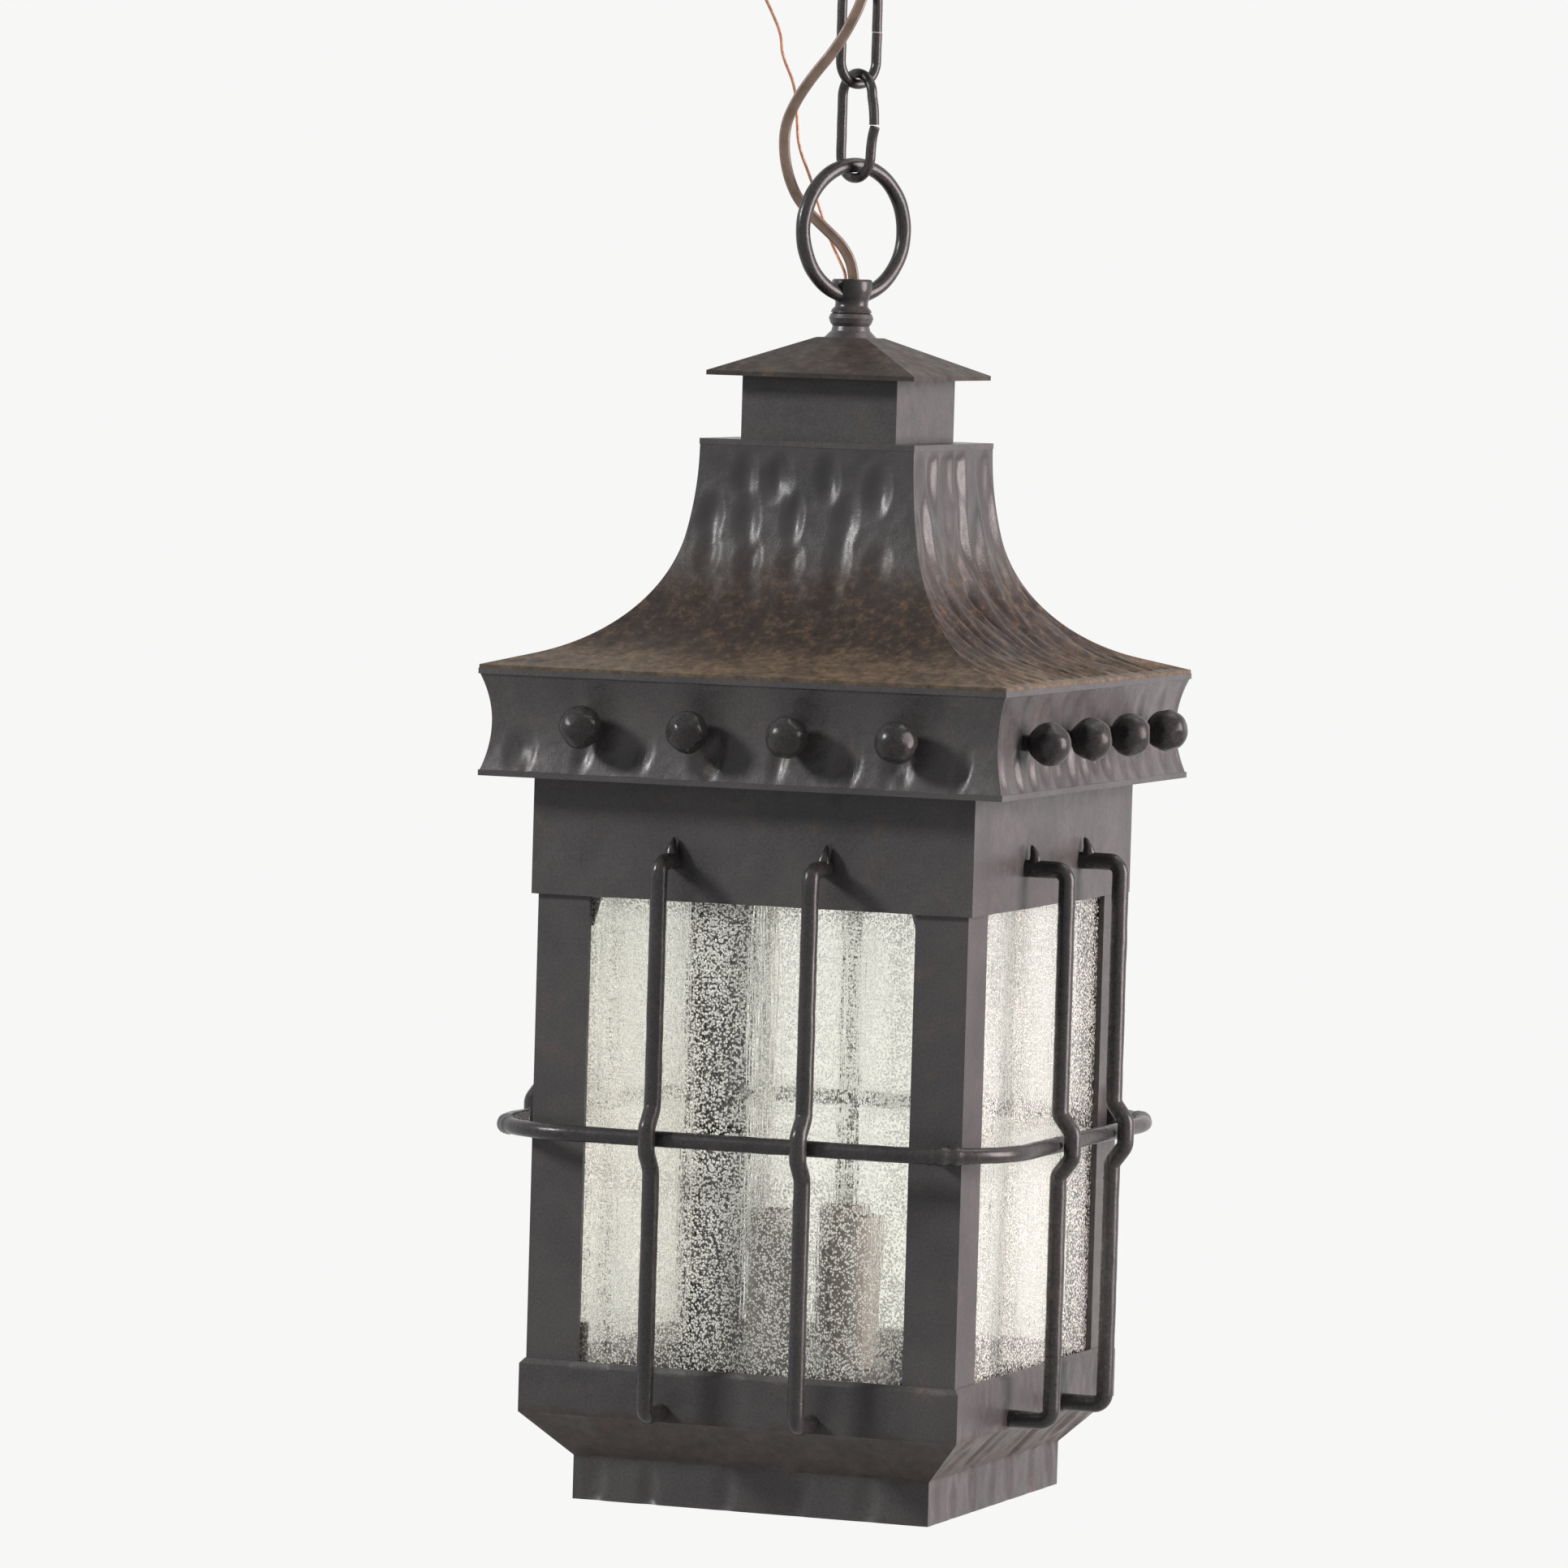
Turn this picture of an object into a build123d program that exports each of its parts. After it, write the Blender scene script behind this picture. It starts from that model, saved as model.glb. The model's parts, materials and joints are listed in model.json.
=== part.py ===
from build123d import *
import math
import os

# Outdoor hanging lantern on two chain links, in millimetres.
# +Z points up and the origin is the centre of the ceiling face of the canopy.
# The front window faces -Y and the right window faces +X.

# Ceiling canopy, crossbar and canopy loop
CANOPY_DIAMETER = 127.0
CANOPY_DEPTH = 26.0
CANOPY_SHEET = 1.2
CANOPY_RIM = 4.0
CANOPY_FLAT_RADIUS = 22.0
CANOPY_CROWN = 6.0
CROSSBAR_LENGTH = 112.0
CROSSBAR_WIDTH = 18.0
CROSSBAR_THICK = 2.0
SLOT_SPACING = 88.9
SLOT_LENGTH = 12.0
SLOT_WIDTH = 5.2
GROUND_SCREW_X = 24.0
GROUND_SCREW_HEAD = 8.0
GROUND_SCREW_HEAD_DEPTH = 3.0
LOOP_BARREL_DIAMETER = 25.0
LOOP_BARREL_TOP = -16.0
LOOP_SHOULDER_STEP = 3.0
LOOP_NECK_DIAMETER = 15.0
BARREL_HOLE_PLAY = 0.5
LOOP_OUTER_DIAMETER = 38.0
LOOP_WIRE = 5.0
LOOP_CENTRE_DROP = 21.0
COLLAR_DIAMETER = 36.0
COLLAR_HEIGHT = 8.0
COLLAR_FLUTE_DEPTH = 0.8
COLLAR_FLUTE_RADIUS = 2.0
COLLAR_FLUTES = 12
SCREW_SLOT_WIDTH = 1.0
SCREW_SLOT_DEPTH = 0.8

# Threaded lamp pipe, which carries the leads through its bore
PIPE_DIAMETER = 10.2
WIREWAY = 7.4
THREAD_CLEARANCE = 0.05
CANOPY_PIPE_LENGTH = 28.5
CANOPY_PIPE_BELOW_CEILING = 1.5
THREAD_RUNOUT = 1.5
NUT_ACROSS_FLATS = 16.0
NUT_THICK = 4.0
WASHER_DIAMETER = 26.0
WASHER_THICK = 1.5

# Chain links and hanging ring; their planes stand square to each other
LINK_HEIGHT = 50.0
LINK_WIDTH = 24.4
LINK_WIRE = 4.4
LINK_JOINT_GAP = 1.0
LINK_SPRING = 1.8
LINK_PLAY = 0.3
RING_DIAMETER = 63.5
RING_WIRE = 6.4
RING_TURN = 60.8
CUP_TOP_ABOVE_RING_FOOT = 10.7
CUP_DIAMETER = 17.7
CUP_CHAMFER = 1.0
CUP_WALL_HEIGHT = 4.0
CUP_NECK_DIAMETER = 14.2
CUP_NECK_DROP = 10.3
CUP_NECK_LENGTH = 1.5
RING_NECK_DROP = 14.6
RING_NECK_FLARE = 1.0
COUPLING_DIAMETER = 19.5
COUPLING_NECK_DIAMETER = 16.0
COUPLING_HEIGHT = 6.0
COUPLING_ROUNDING = 0.7
STEM_FOOT_HEIGHT = 4.9
STEM_FOOT_DIAMETER = 23.0
STEM_WAIST_DROP = 2.0
STEM_WAIST_FLARE = 0.6
STEM_FOOT_LIP = 1.2
HANGER_PIPE_RISE = 18.0
HANGER_PIPE_LENGTH = 79.0

# Roof: cap, vent box, top plate and flared roof
CAP_HALF = 48.1
CAP_FLAT_HALF = 11.5
CAP_HEIGHT = 15.4
CAP_SHEET = 2.0
VENT_BOX_HALF = 35.9
VENT_BOX_SHEET = 1.5
VENT_BOX_HEIGHT = 27.5
ROOF_PLATE_HALF = 49.7
ROOF_PLATE_THICK = 2.5
ROOF_TOP_HALF = 49.5
ROOF_SHEET = 1.5
ROOF_UPPER_RADIUS = 197.0
ROOF_UPPER_DEGREES = 11.2
ROOF_LOWER_RADIUS = 69.0
ROOF_LOWER_DEGREES = 63.0
ROOF_EDGE_SETBACK = 0.25

# Band below the roof, hollow in section, with forged ball studs
BAND_OVERHANG = 19.35
BAND_LOWER_SETBACK = 0.65
BAND_HEIGHT = 46.4
BAND_LIP = 2.5
BAND_SHEET = 1.6
BAND_LIP_STEP = 0.6
BAND_HOLLOW = 4.85
BAND_FLANGE = 12.65
BALL_DIAMETER = 18.8
FRONT_BALL_ROW = (-70.0, -20.7, 24.6, 74.2)
RIGHT_BALL_ROW = (-82.5, -29.0, 21.5, 70.5)
LEFT_BALL_ROW = (-80.0, -33.0, 12.0, 58.5)
BALL_NECK = 1.8
BALL_NECK_DIAMETER = 7.0
BALL_SHANK_DIAMETER = 5.0
BALL_RIVET_DIAMETER = 9.0
BALL_RIVET_THICK = 1.5
BALL_SHANK_END = 2.0
SHANK_CLEARANCE = 0.1
BALL_SEAT_PLAY = 0.25

# Cage: fascia, corner angles, glass and base tray
FASCIA_HALF = 101.3
FASCIA_SHEET = 2.4
FASCIA_DROP = 98.8
FASCIA_RISE = 16.0
ANGLE_LEG = 24.0
ANGLE_THICK = 2.4
ANGLE_TOP_DROP = 50.0
ANGLE_LENGTH = 271.3
GLASS_THICK = 3.0
GLASS_SIDE_PLAY = 0.5
GLASS_TOP_LAP = 9.5
GLASS_FOOT_LAP = 10.0
TRAY_SHEET = 2.3
TRAY_TOP_DROP = 300.3
TRAY_CHAMFER = 2.3
TRAY_EDGE = 0.4
TRAY_RAIL_HEIGHT = 23.3
TRAY_SLOPE_HEIGHT = 19.7
TRAY_SLOPE_RUN = 18.9
TRAY_SKIRT_HEIGHT = 19.1

# Clips that hold the panes against the corner angles
CLIP_THICK = 1.0
CLIP_PLAY = 0.05
CLIP_EDGE_PLAY = 0.2
CLIP_LOWER_SHOWS = 19.0
CLIP_LOWER_REACH = 2.5
CLIP_LOWER_OVERLAP = 9.0
CLIP_UPPER_SHOWS = 13.0
CLIP_UPPER_REACH = 5.0
CLIP_UPPER_OVERLAP = 5.0
CLIP_LEDGE_LENGTH = 8.0
CLIP_LEDGE_INSET = 8.0
CLIP_LEDGE_REACH = 2.65
CLIP_LEDGE_DROP = 0.1

# Guard rods, each with a joggle that passes outside the hoop
ROD_DIAMETER = 7.4
ROD_OFFSET = 34.7
ROD_STANDOFF = 18.7
ROD_TOP_DROP = 81.3
ROD_FOOT_BELOW_TRAY_TOP = 19.0
ROD_BEND = 5.0
ROD_JOGGLE = 6.0
JOGGLE_HOLD = 10.6
JOGGLE_SLANT = 8.0
ROD_TIP_HEIGHT = 9.5
ROD_TIP_BASE = 6.4
ROD_TIP_END = 1.4
TIP_CLEARANCE = 0.1
HOOP_DIAMETER = 7.0
HOOP_DROP = 199.8
HOOP_CORNER = 46.5
HOOP_PLAY = 0.3
LUG_INSET = 8.0
LUG_WIDTH = 7.5
LUG_THICK = 3.0
LUG_RISES = (18.5, 7.0, 18.5, 7.0)
LUG_TAPER = 2.0
LUG_WELD_GAP = 0.15

# Candle cluster on a strap across the base
STRAP_WIDTH = 18.0
STRAP_THICK = 2.5
STRAP_BELOW_TRAY_TOP = 14.0
STRAP_TAB = 6.0
CLUSTER_DIAMETER = 64.0
CLUSTER_HEIGHT = 10.0
CLUSTER_SHEET = 1.5
CLUSTER_EDGE_RADIUS = 3.0
CLUSTER_PIPE_RISE = 1.5
CANDLE_COUNT = 3
CANDLE_CIRCLE_RADIUS = 22.0
CANDLE_SLEEVE_DIAMETER = 22.0
CANDLE_SLEEVE_WALL = 1.5
CANDLE_SLEEVE_HEIGHT = 66.0
SOCKET_DIAMETER = 16.5
SOCKET_BORE_RADIUS = 6.0
SOCKET_BORE_DEPTH = 16.0
SOCKET_BASE_HEIGHT = 6.0
SOCKET_BELOW_SLEEVE = 3.0
SOCKET_POST_DIAMETER = 9.5
SOCKET_SHOULDER = 2.0
SLEEVE_LIP_HEIGHT = 2.0
SLEEVE_LIP = 0.6

# Leads, their conduit and the ground terminal
LEAD_DIAMETER = 4.8
GROUND_WIRE_DIAMETER = 1.3
CONDUIT_DIAMETER = 8.0
CONDUIT_BORE = 6.0
CONDUIT_INSET = 10.9
CONDUIT_GLASS_GAP = 0.3
CONDUIT_ABOVE_GLASS = 8.0
CONDUIT_BELOW_GLASS = 7.0
CONDUIT_TAB_WIDTH = 12.0
CONDUIT_TAB_HEIGHT = 3.0
CONDUIT_TAB_WALL = 2.0
CONDUIT_FIT = 0.05
CONDUIT_TAB_GLASS_GAP = 1.5
TERMINAL_HEAD = 7.0
TERMINAL_HEAD_DEPTH = 3.0

# Half widths from the middle out
BAND_HALF = FASCIA_HALF + BAND_OVERHANG
BAND_LOWER_HALF = BAND_HALF - BAND_LOWER_SETBACK
BAND_WAIST_HALF = BAND_HALF - BAND_HOLLOW
BAND_OPENING_HALF = BAND_HALF - BAND_FLANGE
ANGLE_HALF = FASCIA_HALF - FASCIA_SHEET
GLASS_OUTER = ANGLE_HALF - ANGLE_THICK
GLASS_INNER = GLASS_OUTER - GLASS_THICK
GLASS_HALF_WIDTH = GLASS_INNER - GLASS_SIDE_PLAY
WINDOW_HALF = ANGLE_HALF - ANGLE_LEG
TRAY_HALF = ANGLE_HALF + TRAY_SHEET
TRAY_SKIRT_HALF = TRAY_HALF - TRAY_SLOPE_RUN
ROD_LINE = FASCIA_HALF + ROD_STANDOFF
LUG_LINE = ANGLE_HALF - LUG_INSET
CONDUIT_X = CONDUIT_INSET - WINDOW_HALF
CONDUIT_Y = GLASS_INNER - CONDUIT_GLASS_GAP - CONDUIT_DIAMETER / 2

# The roof's fall: its upper arc, its lower arc and its straight edge
UPPER_LEAN = math.radians(ROOF_UPPER_DEGREES)
EDGE_LEAN = math.radians(ROOF_UPPER_DEGREES + ROOF_LOWER_DEGREES)
UPPER_ARC_REACH = ROOF_TOP_HALF + ROOF_UPPER_RADIUS * (1 - math.cos(UPPER_LEAN))
LOWER_ARC_REACH = UPPER_ARC_REACH + ROOF_LOWER_RADIUS * (math.cos(UPPER_LEAN) - math.cos(EDGE_LEAN))
UPPER_ARC_FALL = ROOF_UPPER_RADIUS * math.sin(UPPER_LEAN)
LOWER_ARC_FALL = ROOF_LOWER_RADIUS * (math.sin(EDGE_LEAN) - math.sin(UPPER_LEAN))
EDGE_FALL = (BAND_HALF - ROOF_EDGE_SETBACK - LOWER_ARC_REACH) / math.tan(EDGE_LEAN)
ROOF_HEIGHT = UPPER_ARC_FALL + LOWER_ARC_FALL + EDGE_FALL

# Levels from the ceiling down, each seated on the one above it
COLLAR_FOOT = -CANOPY_DEPTH - COLLAR_HEIGHT
LOOP_CENTRE = COLLAR_FOOT - LOOP_CENTRE_DROP
LOOP_MEAN_RADIUS = (LOOP_OUTER_DIAMETER - LOOP_WIRE) / 2
LOOP_FOOT = LOOP_CENTRE - LOOP_MEAN_RADIUS
LINK_REACH = LINK_HEIGHT - LINK_WIRE
UPPER_LINK_TOP = LOOP_FOOT + (LOOP_WIRE + LINK_WIRE) / 2 + LINK_PLAY
UPPER_LINK_FOOT = UPPER_LINK_TOP - LINK_REACH
LOWER_LINK_TOP = UPPER_LINK_FOOT + LINK_WIRE + LINK_PLAY
LOWER_LINK_FOOT = LOWER_LINK_TOP - LINK_REACH
RING_TOP = LOWER_LINK_FOOT + (LINK_WIRE + RING_WIRE) / 2 + LINK_PLAY
RING_MEAN_RADIUS = (RING_DIAMETER - RING_WIRE) / 2
RING_CENTRE = RING_TOP - RING_MEAN_RADIUS
RING_FOOT = RING_CENTRE - RING_DIAMETER / 2
CUP_TOP = RING_FOOT + CUP_TOP_ABOVE_RING_FOOT
RING_NECK_FOOT = CUP_TOP - RING_NECK_DROP
COUPLING_FOOT = RING_NECK_FOOT - COUPLING_HEIGHT
CAP_TOP = COUPLING_FOOT - STEM_FOOT_HEIGHT
CAP_EAVE = CAP_TOP - CAP_HEIGHT
ROOF_PLATE_TOP = CAP_EAVE - CAP_SHEET - VENT_BOX_HEIGHT
ROOF_TOP = ROOF_PLATE_TOP - ROOF_PLATE_THICK
ROOF_EDGE = ROOF_TOP - ROOF_HEIGHT
BAND_TOP = ROOF_EDGE - ROOF_SHEET
BAND_FOOT = BAND_TOP - BAND_HEIGHT
FASCIA_FOOT = ROOF_EDGE - FASCIA_DROP
TRAY_TOP = ROOF_EDGE - TRAY_TOP_DROP
GLASS_TOP = FASCIA_FOOT + GLASS_TOP_LAP
GLASS_FOOT = TRAY_TOP - GLASS_FOOT_LAP
GLASS_HEIGHT = GLASS_TOP - GLASS_FOOT
STRAP_TOP = TRAY_TOP - STRAP_BELOW_TRAY_TOP
HOOP_LEVEL = ROOF_EDGE - HOOP_DROP
HANGER_PIPE_FOOT = CAP_TOP + HANGER_PIPE_RISE - HANGER_PIPE_LENGTH
LAMP_LEAD_PIPE_DROP = 3.0
CLUSTER_TOP = STRAP_TOP + CLUSTER_HEIGHT

# Routes of the supply cord and the bare ground wire, from inside the ring's cup
# up past the links into the canopy loop. Each is in three stretches, so that a
# stretch bends about one joint of the chain. Where two stretches meet, they meet
# halfway along the run between the last point of one and the first of the next.
CORD_LOWER = [
    (0.9, 0.4, -205.0), (0.9, 0.4, -194.0), (-2.7, -2.8, -183.5), (-9.1, -8.4, -176.0),
    (-16.9, -13.0, -168.0), (-23.0, -15.4, -159.0), (-27.1, -15.9, -146.0),
]
CORD_MIDDLE = [
    (-27.7, -15.6, -132.0), (-22.6, -16.3, -120.5), (-14.2, -17.6, -109.2),
    (-4.4, -17.8, -98.0),
]
CORD_UPPER = [
    (2.2, -16.6, -86.5), (6.3, -13.4, -75.5), (6.1, -9.6, -65.0), (4.1, -5.2, -55.8),
    (1.7, -1.1, -48.5), (0.9, 0.4, -41.0), (0.9, 0.4, -34.0),
]
GROUND_LOWER = [
    (-2.4, -0.9, -205.0), (-2.4, -0.9, -196.0), (-5.0, -0.6, -190.5), (-10.0, 0.8, -182.5),
    (-13.6, 0.3, -173.5), (-16.8, -1.4, -163.5), (-19.5, -3.3, -153.5),
]
GROUND_MIDDLE = [
    (-24.7, -6.3, -139.5), (-25.2, -7.0, -127.5), (-26.1, -8.0, -113.5),
]
GROUND_UPPER = [
    (-31.7, -11.2, -100.0), (-31.8, -11.5, -92.0), (-35.1, -13.2, -83.5), (-39.2, -15.2, -74.5),
    (-43.2, -17.3, -64.5), (-42.5, -17.6, -54.0), (-35.0, -14.9, -46.5), (-24.5, -10.5, -44.5),
    (-14.8, -6.3, -47.0), (-7.6, -3.3, -48.6), (-3.2, -1.3, -46.2), (-2.4, -0.9, -41.5),
    (-2.4, -0.9, -37.0),
]
# The lamp lead leaves the hanger pipe, drops through the conduit behind the
# back pane and rises into the pipe of the candle cluster.
LAMP_LEAD_ROOF = [
    (-3.0, 3.0, -296.0), (-13.0, 17.0, -322.0), (-27.0, 40.0, -354.0), (-44.0, 64.0, -384.0),
    (-58.0, 82.0, -412.0), (CONDUIT_X, CONDUIT_Y, -434.0),
]
LAMP_LEAD_BASE = [
    (CONDUIT_X, CONDUIT_Y, -690.0), (-59.0, 82.0, -701.0), (-44.0, 61.0, -708.5),
    (-24.0, 33.0, -710.0), (-8.0, 11.0, -704.0), (0.0, 0.0, -693.0),
]
GROUND_LEAD_POINTS = [
    (-2.4, -0.9, -289.0), (-5.5, -2.1, -296.5), (-13.0, -5.0, -300.0), (-20.0, -7.8, -295.5),
    (-22.4, -8.7, -287.0),
]


def section_face(*points):
    """Flat face in the XZ plane from (x, z) points."""
    return Plane.XZ * make_face(Polyline(*points, close=True))


def outlined_face(*lines):
    """Flat face in the XZ plane inside lines and arcs drawn in (x, z)."""
    return Plane.XZ * make_face(Wire([line.edge() for line in lines]))


def turned(*points):
    """Solid of revolution about Z from (radius, height) points."""
    return revolve(section_face(*points), Axis.Z)


def mitred(section):
    """Square form whose four sides all have this XZ section, mitred at the corners."""
    reach = section.bounding_box().max.X + 5
    low = section.bounding_box().min.Z - 5
    high = section.bounding_box().max.Z + 5
    side = extrude(section, amount=reach, dir=(0, 1, 0), both=True)
    corner = make_face(Polyline((0, 0, low), (reach, reach, low), (reach, -reach, low), close=True))
    side = side & extrude(corner, amount=high - low, dir=(0, 0, 1))
    form = side
    for turn in (90, 180, 270):
        form = form + Rot(0, 0, turn) * side
    return form


def hexagon_nut(top, bore, thick=NUT_THICK):
    """Hexagon nut hanging below the level `top`, threaded on lamp pipe."""
    body = extrude(RegularPolygon(NUT_ACROSS_FLATS / 2, 6, major_radius=False), amount=thick)
    nut = body - Cylinder(bore / 2, 4 * thick)
    return Pos(0, 0, top - thick) * nut


def pipe(top, length):
    """Threaded lamp pipe from the level `top` down."""
    tube = Cylinder(PIPE_DIAMETER / 2, length) - Cylinder(WIREWAY / 2, 2 * length)
    return Pos(0, 0, top - length / 2) * tube


def threaded_bore():
    return PIPE_DIAMETER + 2 * THREAD_CLEARANCE


def swept_rod(path, diameter):
    """Round bar of one diameter along a path."""
    start = Plane(origin=path @ 0, z_dir=path % 0)
    return sweep(start * Circle(diameter / 2), path=path)


def corner_radii(points):
    """The largest tangent arcs that the runs beside each corner leave room for."""
    radii = []
    for before, corner, after in zip(points, points[1:], points[2:]):
        arriving = Vector(*corner) - Vector(*before)
        leaving = Vector(*after) - Vector(*corner)
        half_turn = math.radians(arriving.get_angle(leaving)) / 2
        shorter = min(arriving.length, leaving.length)
        radii.append(0.45 * shorter / math.tan(half_turn))
    return radii


def lead(name, points, diameter, radii=None):
    """Round lead through hand-set points, as straight runs joined by tangent arcs."""
    radii = radii or corner_radii(points)
    if len(points) > 2:
        path = FilletPolyline(*points, radius=radii)
    else:
        path = Line(*points)
    solid = swept_rod(path, diameter)
    expected = math.pi * diameter ** 2 / 4 * path.length
    tightest = min(radii, default=0)
    print(f"{name}: length {path.length:.1f}, volume share {solid.volume / expected:.4f}, "
          f"tightest arc {tightest:.1f}, arcs {[round(r, 1) for r in radii]}")
    return solid


def halfway(first, second):
    return tuple((a + b) / 2 for a, b in zip(first, second))


def three_stretches(lower, middle, upper):
    """Join three stretches of a route halfway along the runs between them."""
    first_joint = halfway(lower[-1], middle[0])
    second_joint = halfway(middle[-1], upper[0])
    return (
        lower + [first_joint],
        [first_joint] + middle + [second_joint],
        [second_joint] + upper,
    )


def make_canopy():
    """Spun canopy: a rim at the ceiling, a crowned wall and a flat with a hole."""
    radius = CANOPY_DIAMETER / 2
    rim = (radius, -CANOPY_RIM)
    flat = (CANOPY_FLAT_RADIUS, -CANOPY_DEPTH)
    dome = revolve(outlined_face(
        Line((0, 0), (radius, 0)),
        Line((radius, 0), rim),
        SagittaArc(rim, flat, CANOPY_CROWN),
        Line(flat, (0, -CANOPY_DEPTH)),
        Line((0, -CANOPY_DEPTH), (0, 0)),
    ), Axis.Z)
    shell = offset(dome, amount=-CANOPY_SHEET, openings=dome.faces().sort_by(Axis.Z)[-1])
    hole = Cylinder(LOOP_BARREL_DIAMETER / 2 + BARREL_HOLE_PLAY, 4 * CANOPY_DEPTH)
    return shell - hole


def make_crossbar():
    """Flat bar that bolts to the outlet box through two slots."""
    bar = Pos(0, 0, -CROSSBAR_THICK / 2) * Box(CROSSBAR_LENGTH, CROSSBAR_WIDTH, CROSSBAR_THICK)
    bar = fillet(bar.edges().filter_by(Axis.Z), CROSSBAR_WIDTH / 4)
    slot = extrude(SlotOverall(SLOT_LENGTH, SLOT_WIDTH), amount=2 * CROSSBAR_THICK, both=True)
    for side in (-1, 1):
        bar = bar - Pos(side * SLOT_SPACING / 2, 0, 0) * slot
    return bar - Cylinder(threaded_bore() / 2, 4 * CROSSBAR_THICK)


def make_ground_screw():
    """Ground screw with its head below the crossbar."""
    head = Cylinder(GROUND_SCREW_HEAD / 2, GROUND_SCREW_HEAD_DEPTH)
    head = chamfer(head.edges().sort_by(Axis.Z)[0], GROUND_SCREW_HEAD_DEPTH / 4)
    slot = Box(GROUND_SCREW_HEAD, SCREW_SLOT_WIDTH, 2 * SCREW_SLOT_DEPTH)
    slot = Pos(0, 0, -GROUND_SCREW_HEAD_DEPTH / 2) * slot
    level = -CROSSBAR_THICK - GROUND_SCREW_HEAD_DEPTH / 2
    return Pos(GROUND_SCREW_X, 0, level) * (head - slot)


def make_canopy_loop():
    """Cast loop: a threaded barrel through the canopy with a ring below it."""
    barrel_radius = LOOP_BARREL_DIAMETER / 2
    ring_top = LOOP_CENTRE + LOOP_MEAN_RADIUS
    neck_foot = ring_top - LOOP_WIRE / 5
    step = LOOP_SHOULDER_STEP
    body = turned(
        (0, LOOP_BARREL_TOP), (barrel_radius, LOOP_BARREL_TOP), (barrel_radius, COLLAR_FOOT),
        (barrel_radius - step, COLLAR_FOOT - step * 2 / 3), (LOOP_NECK_DIAMETER / 2, neck_foot),
        (0, neck_foot),
    )
    upright = Pos(0, 0, LOOP_CENTRE) * Rot(0, 0, RING_TURN - 90) * Rot(90, 0, 0)
    ring = upright * Torus(LOOP_MEAN_RADIUS, LOOP_WIRE / 2)
    eye = upright * Cylinder(LOOP_MEAN_RADIUS - LOOP_WIRE / 2, LOOP_BARREL_DIAMETER)
    pipe_foot = -CANOPY_PIPE_BELOW_CEILING - CANOPY_PIPE_LENGTH
    thread_depth = LOOP_BARREL_TOP - pipe_foot + THREAD_RUNOUT
    thread = Pos(0, 0, LOOP_BARREL_TOP) * Cylinder(threaded_bore() / 2, 2 * thread_depth)
    wireway = Pos(0, 0, ring_top) * Cylinder(WIREWAY / 2, 2 * CANOPY_DEPTH)
    return (body - eye) + ring - thread - wireway


def make_loop_collar():
    """Ring nut on the loop's barrel that holds the canopy up."""
    collar = Cylinder(COLLAR_DIAMETER / 2, COLLAR_HEIGHT)
    collar = fillet(collar.edges().sort_by(Axis.Z)[0], COLLAR_HEIGHT / 3)
    collar = collar - Cylinder(LOOP_BARREL_DIAMETER / 2 + THREAD_CLEARANCE, 2 * COLLAR_HEIGHT)
    flute_circle = COLLAR_DIAMETER / 2 + COLLAR_FLUTE_RADIUS - COLLAR_FLUTE_DEPTH
    for place in PolarLocations(flute_circle, COLLAR_FLUTES):
        collar = collar - place * Cylinder(COLLAR_FLUTE_RADIUS, 2 * COLLAR_HEIGHT)
    return Pos(0, 0, -CANOPY_DEPTH - COLLAR_HEIGHT / 2) * collar


def sprung_limb(bend, joint, end, spring):
    """Half of the jointed side of a link, bowed out by `spring` at the joint."""
    if not spring:
        return Line((bend, 0, joint), (bend, 0, end))
    at_joint = (-spring, 0, end - joint)
    at_end = (0, 0, math.copysign(1, end - joint))
    return Spline((bend + spring, 0, joint), (bend, 0, end), tangents=[at_joint, at_end])


def make_link(top, turn, joint_gap=0.0, spring=0.0):
    """Chain link of round wire in the XZ plane, turned about Z and hung from `top`."""
    bend = (LINK_WIDTH - LINK_WIRE) / 2
    foot = top - LINK_REACH
    middle = (top + foot) / 2
    upper_arc = ThreePointArc((bend, 0, top - bend), (0, 0, top), (-bend, 0, top - bend))
    lower_arc = ThreePointArc((-bend, 0, foot + bend), (0, 0, foot), (bend, 0, foot + bend))
    wire = Wire([
        sprung_limb(bend, middle + joint_gap / 2, top - bend, spring).edge(),
        upper_arc.edge(),
        Line((-bend, 0, top - bend), (-bend, 0, foot + bend)).edge(),
        lower_arc.edge(),
        sprung_limb(bend, middle - joint_gap / 2, foot + bend, spring).edge(),
    ])
    return Rot(0, 0, turn) * swept_rod(wire, LINK_WIRE)


def make_hanging_ring():
    """Cast ring with a cup at its foot, where the cord comes out."""
    thread = threaded_bore() / 2
    neck_level = CUP_TOP - CUP_NECK_DROP
    cup_radius = CUP_DIAMETER / 2
    neck_radius = CUP_NECK_DIAMETER / 2
    foot_radius = COUPLING_NECK_DIAMETER / 2 + RING_NECK_FLARE
    cup = turned(
        (0, CUP_TOP), (cup_radius - CUP_CHAMFER, CUP_TOP), (cup_radius, CUP_TOP - CUP_CHAMFER),
        (cup_radius, CUP_TOP - CUP_WALL_HEIGHT), (neck_radius, neck_level),
        (neck_radius, neck_level - CUP_NECK_LENGTH), (foot_radius, RING_NECK_FOOT), (0, RING_NECK_FOOT),
    )
    upright = Pos(0, 0, RING_CENTRE) * Rot(0, 0, RING_TURN) * Rot(90, 0, 0)
    ring = upright * Torus(RING_MEAN_RADIUS, RING_WIRE / 2)
    bore_depth = CAP_TOP + HANGER_PIPE_RISE + THREAD_RUNOUT - RING_NECK_FOOT
    bore = Pos(0, 0, RING_NECK_FOOT) * Cylinder(thread, 2 * bore_depth)
    wireway = Pos(0, 0, CUP_TOP) * Cylinder(WIREWAY / 2, 2 * RING_NECK_DROP)
    return cup + ring - bore - wireway


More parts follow.
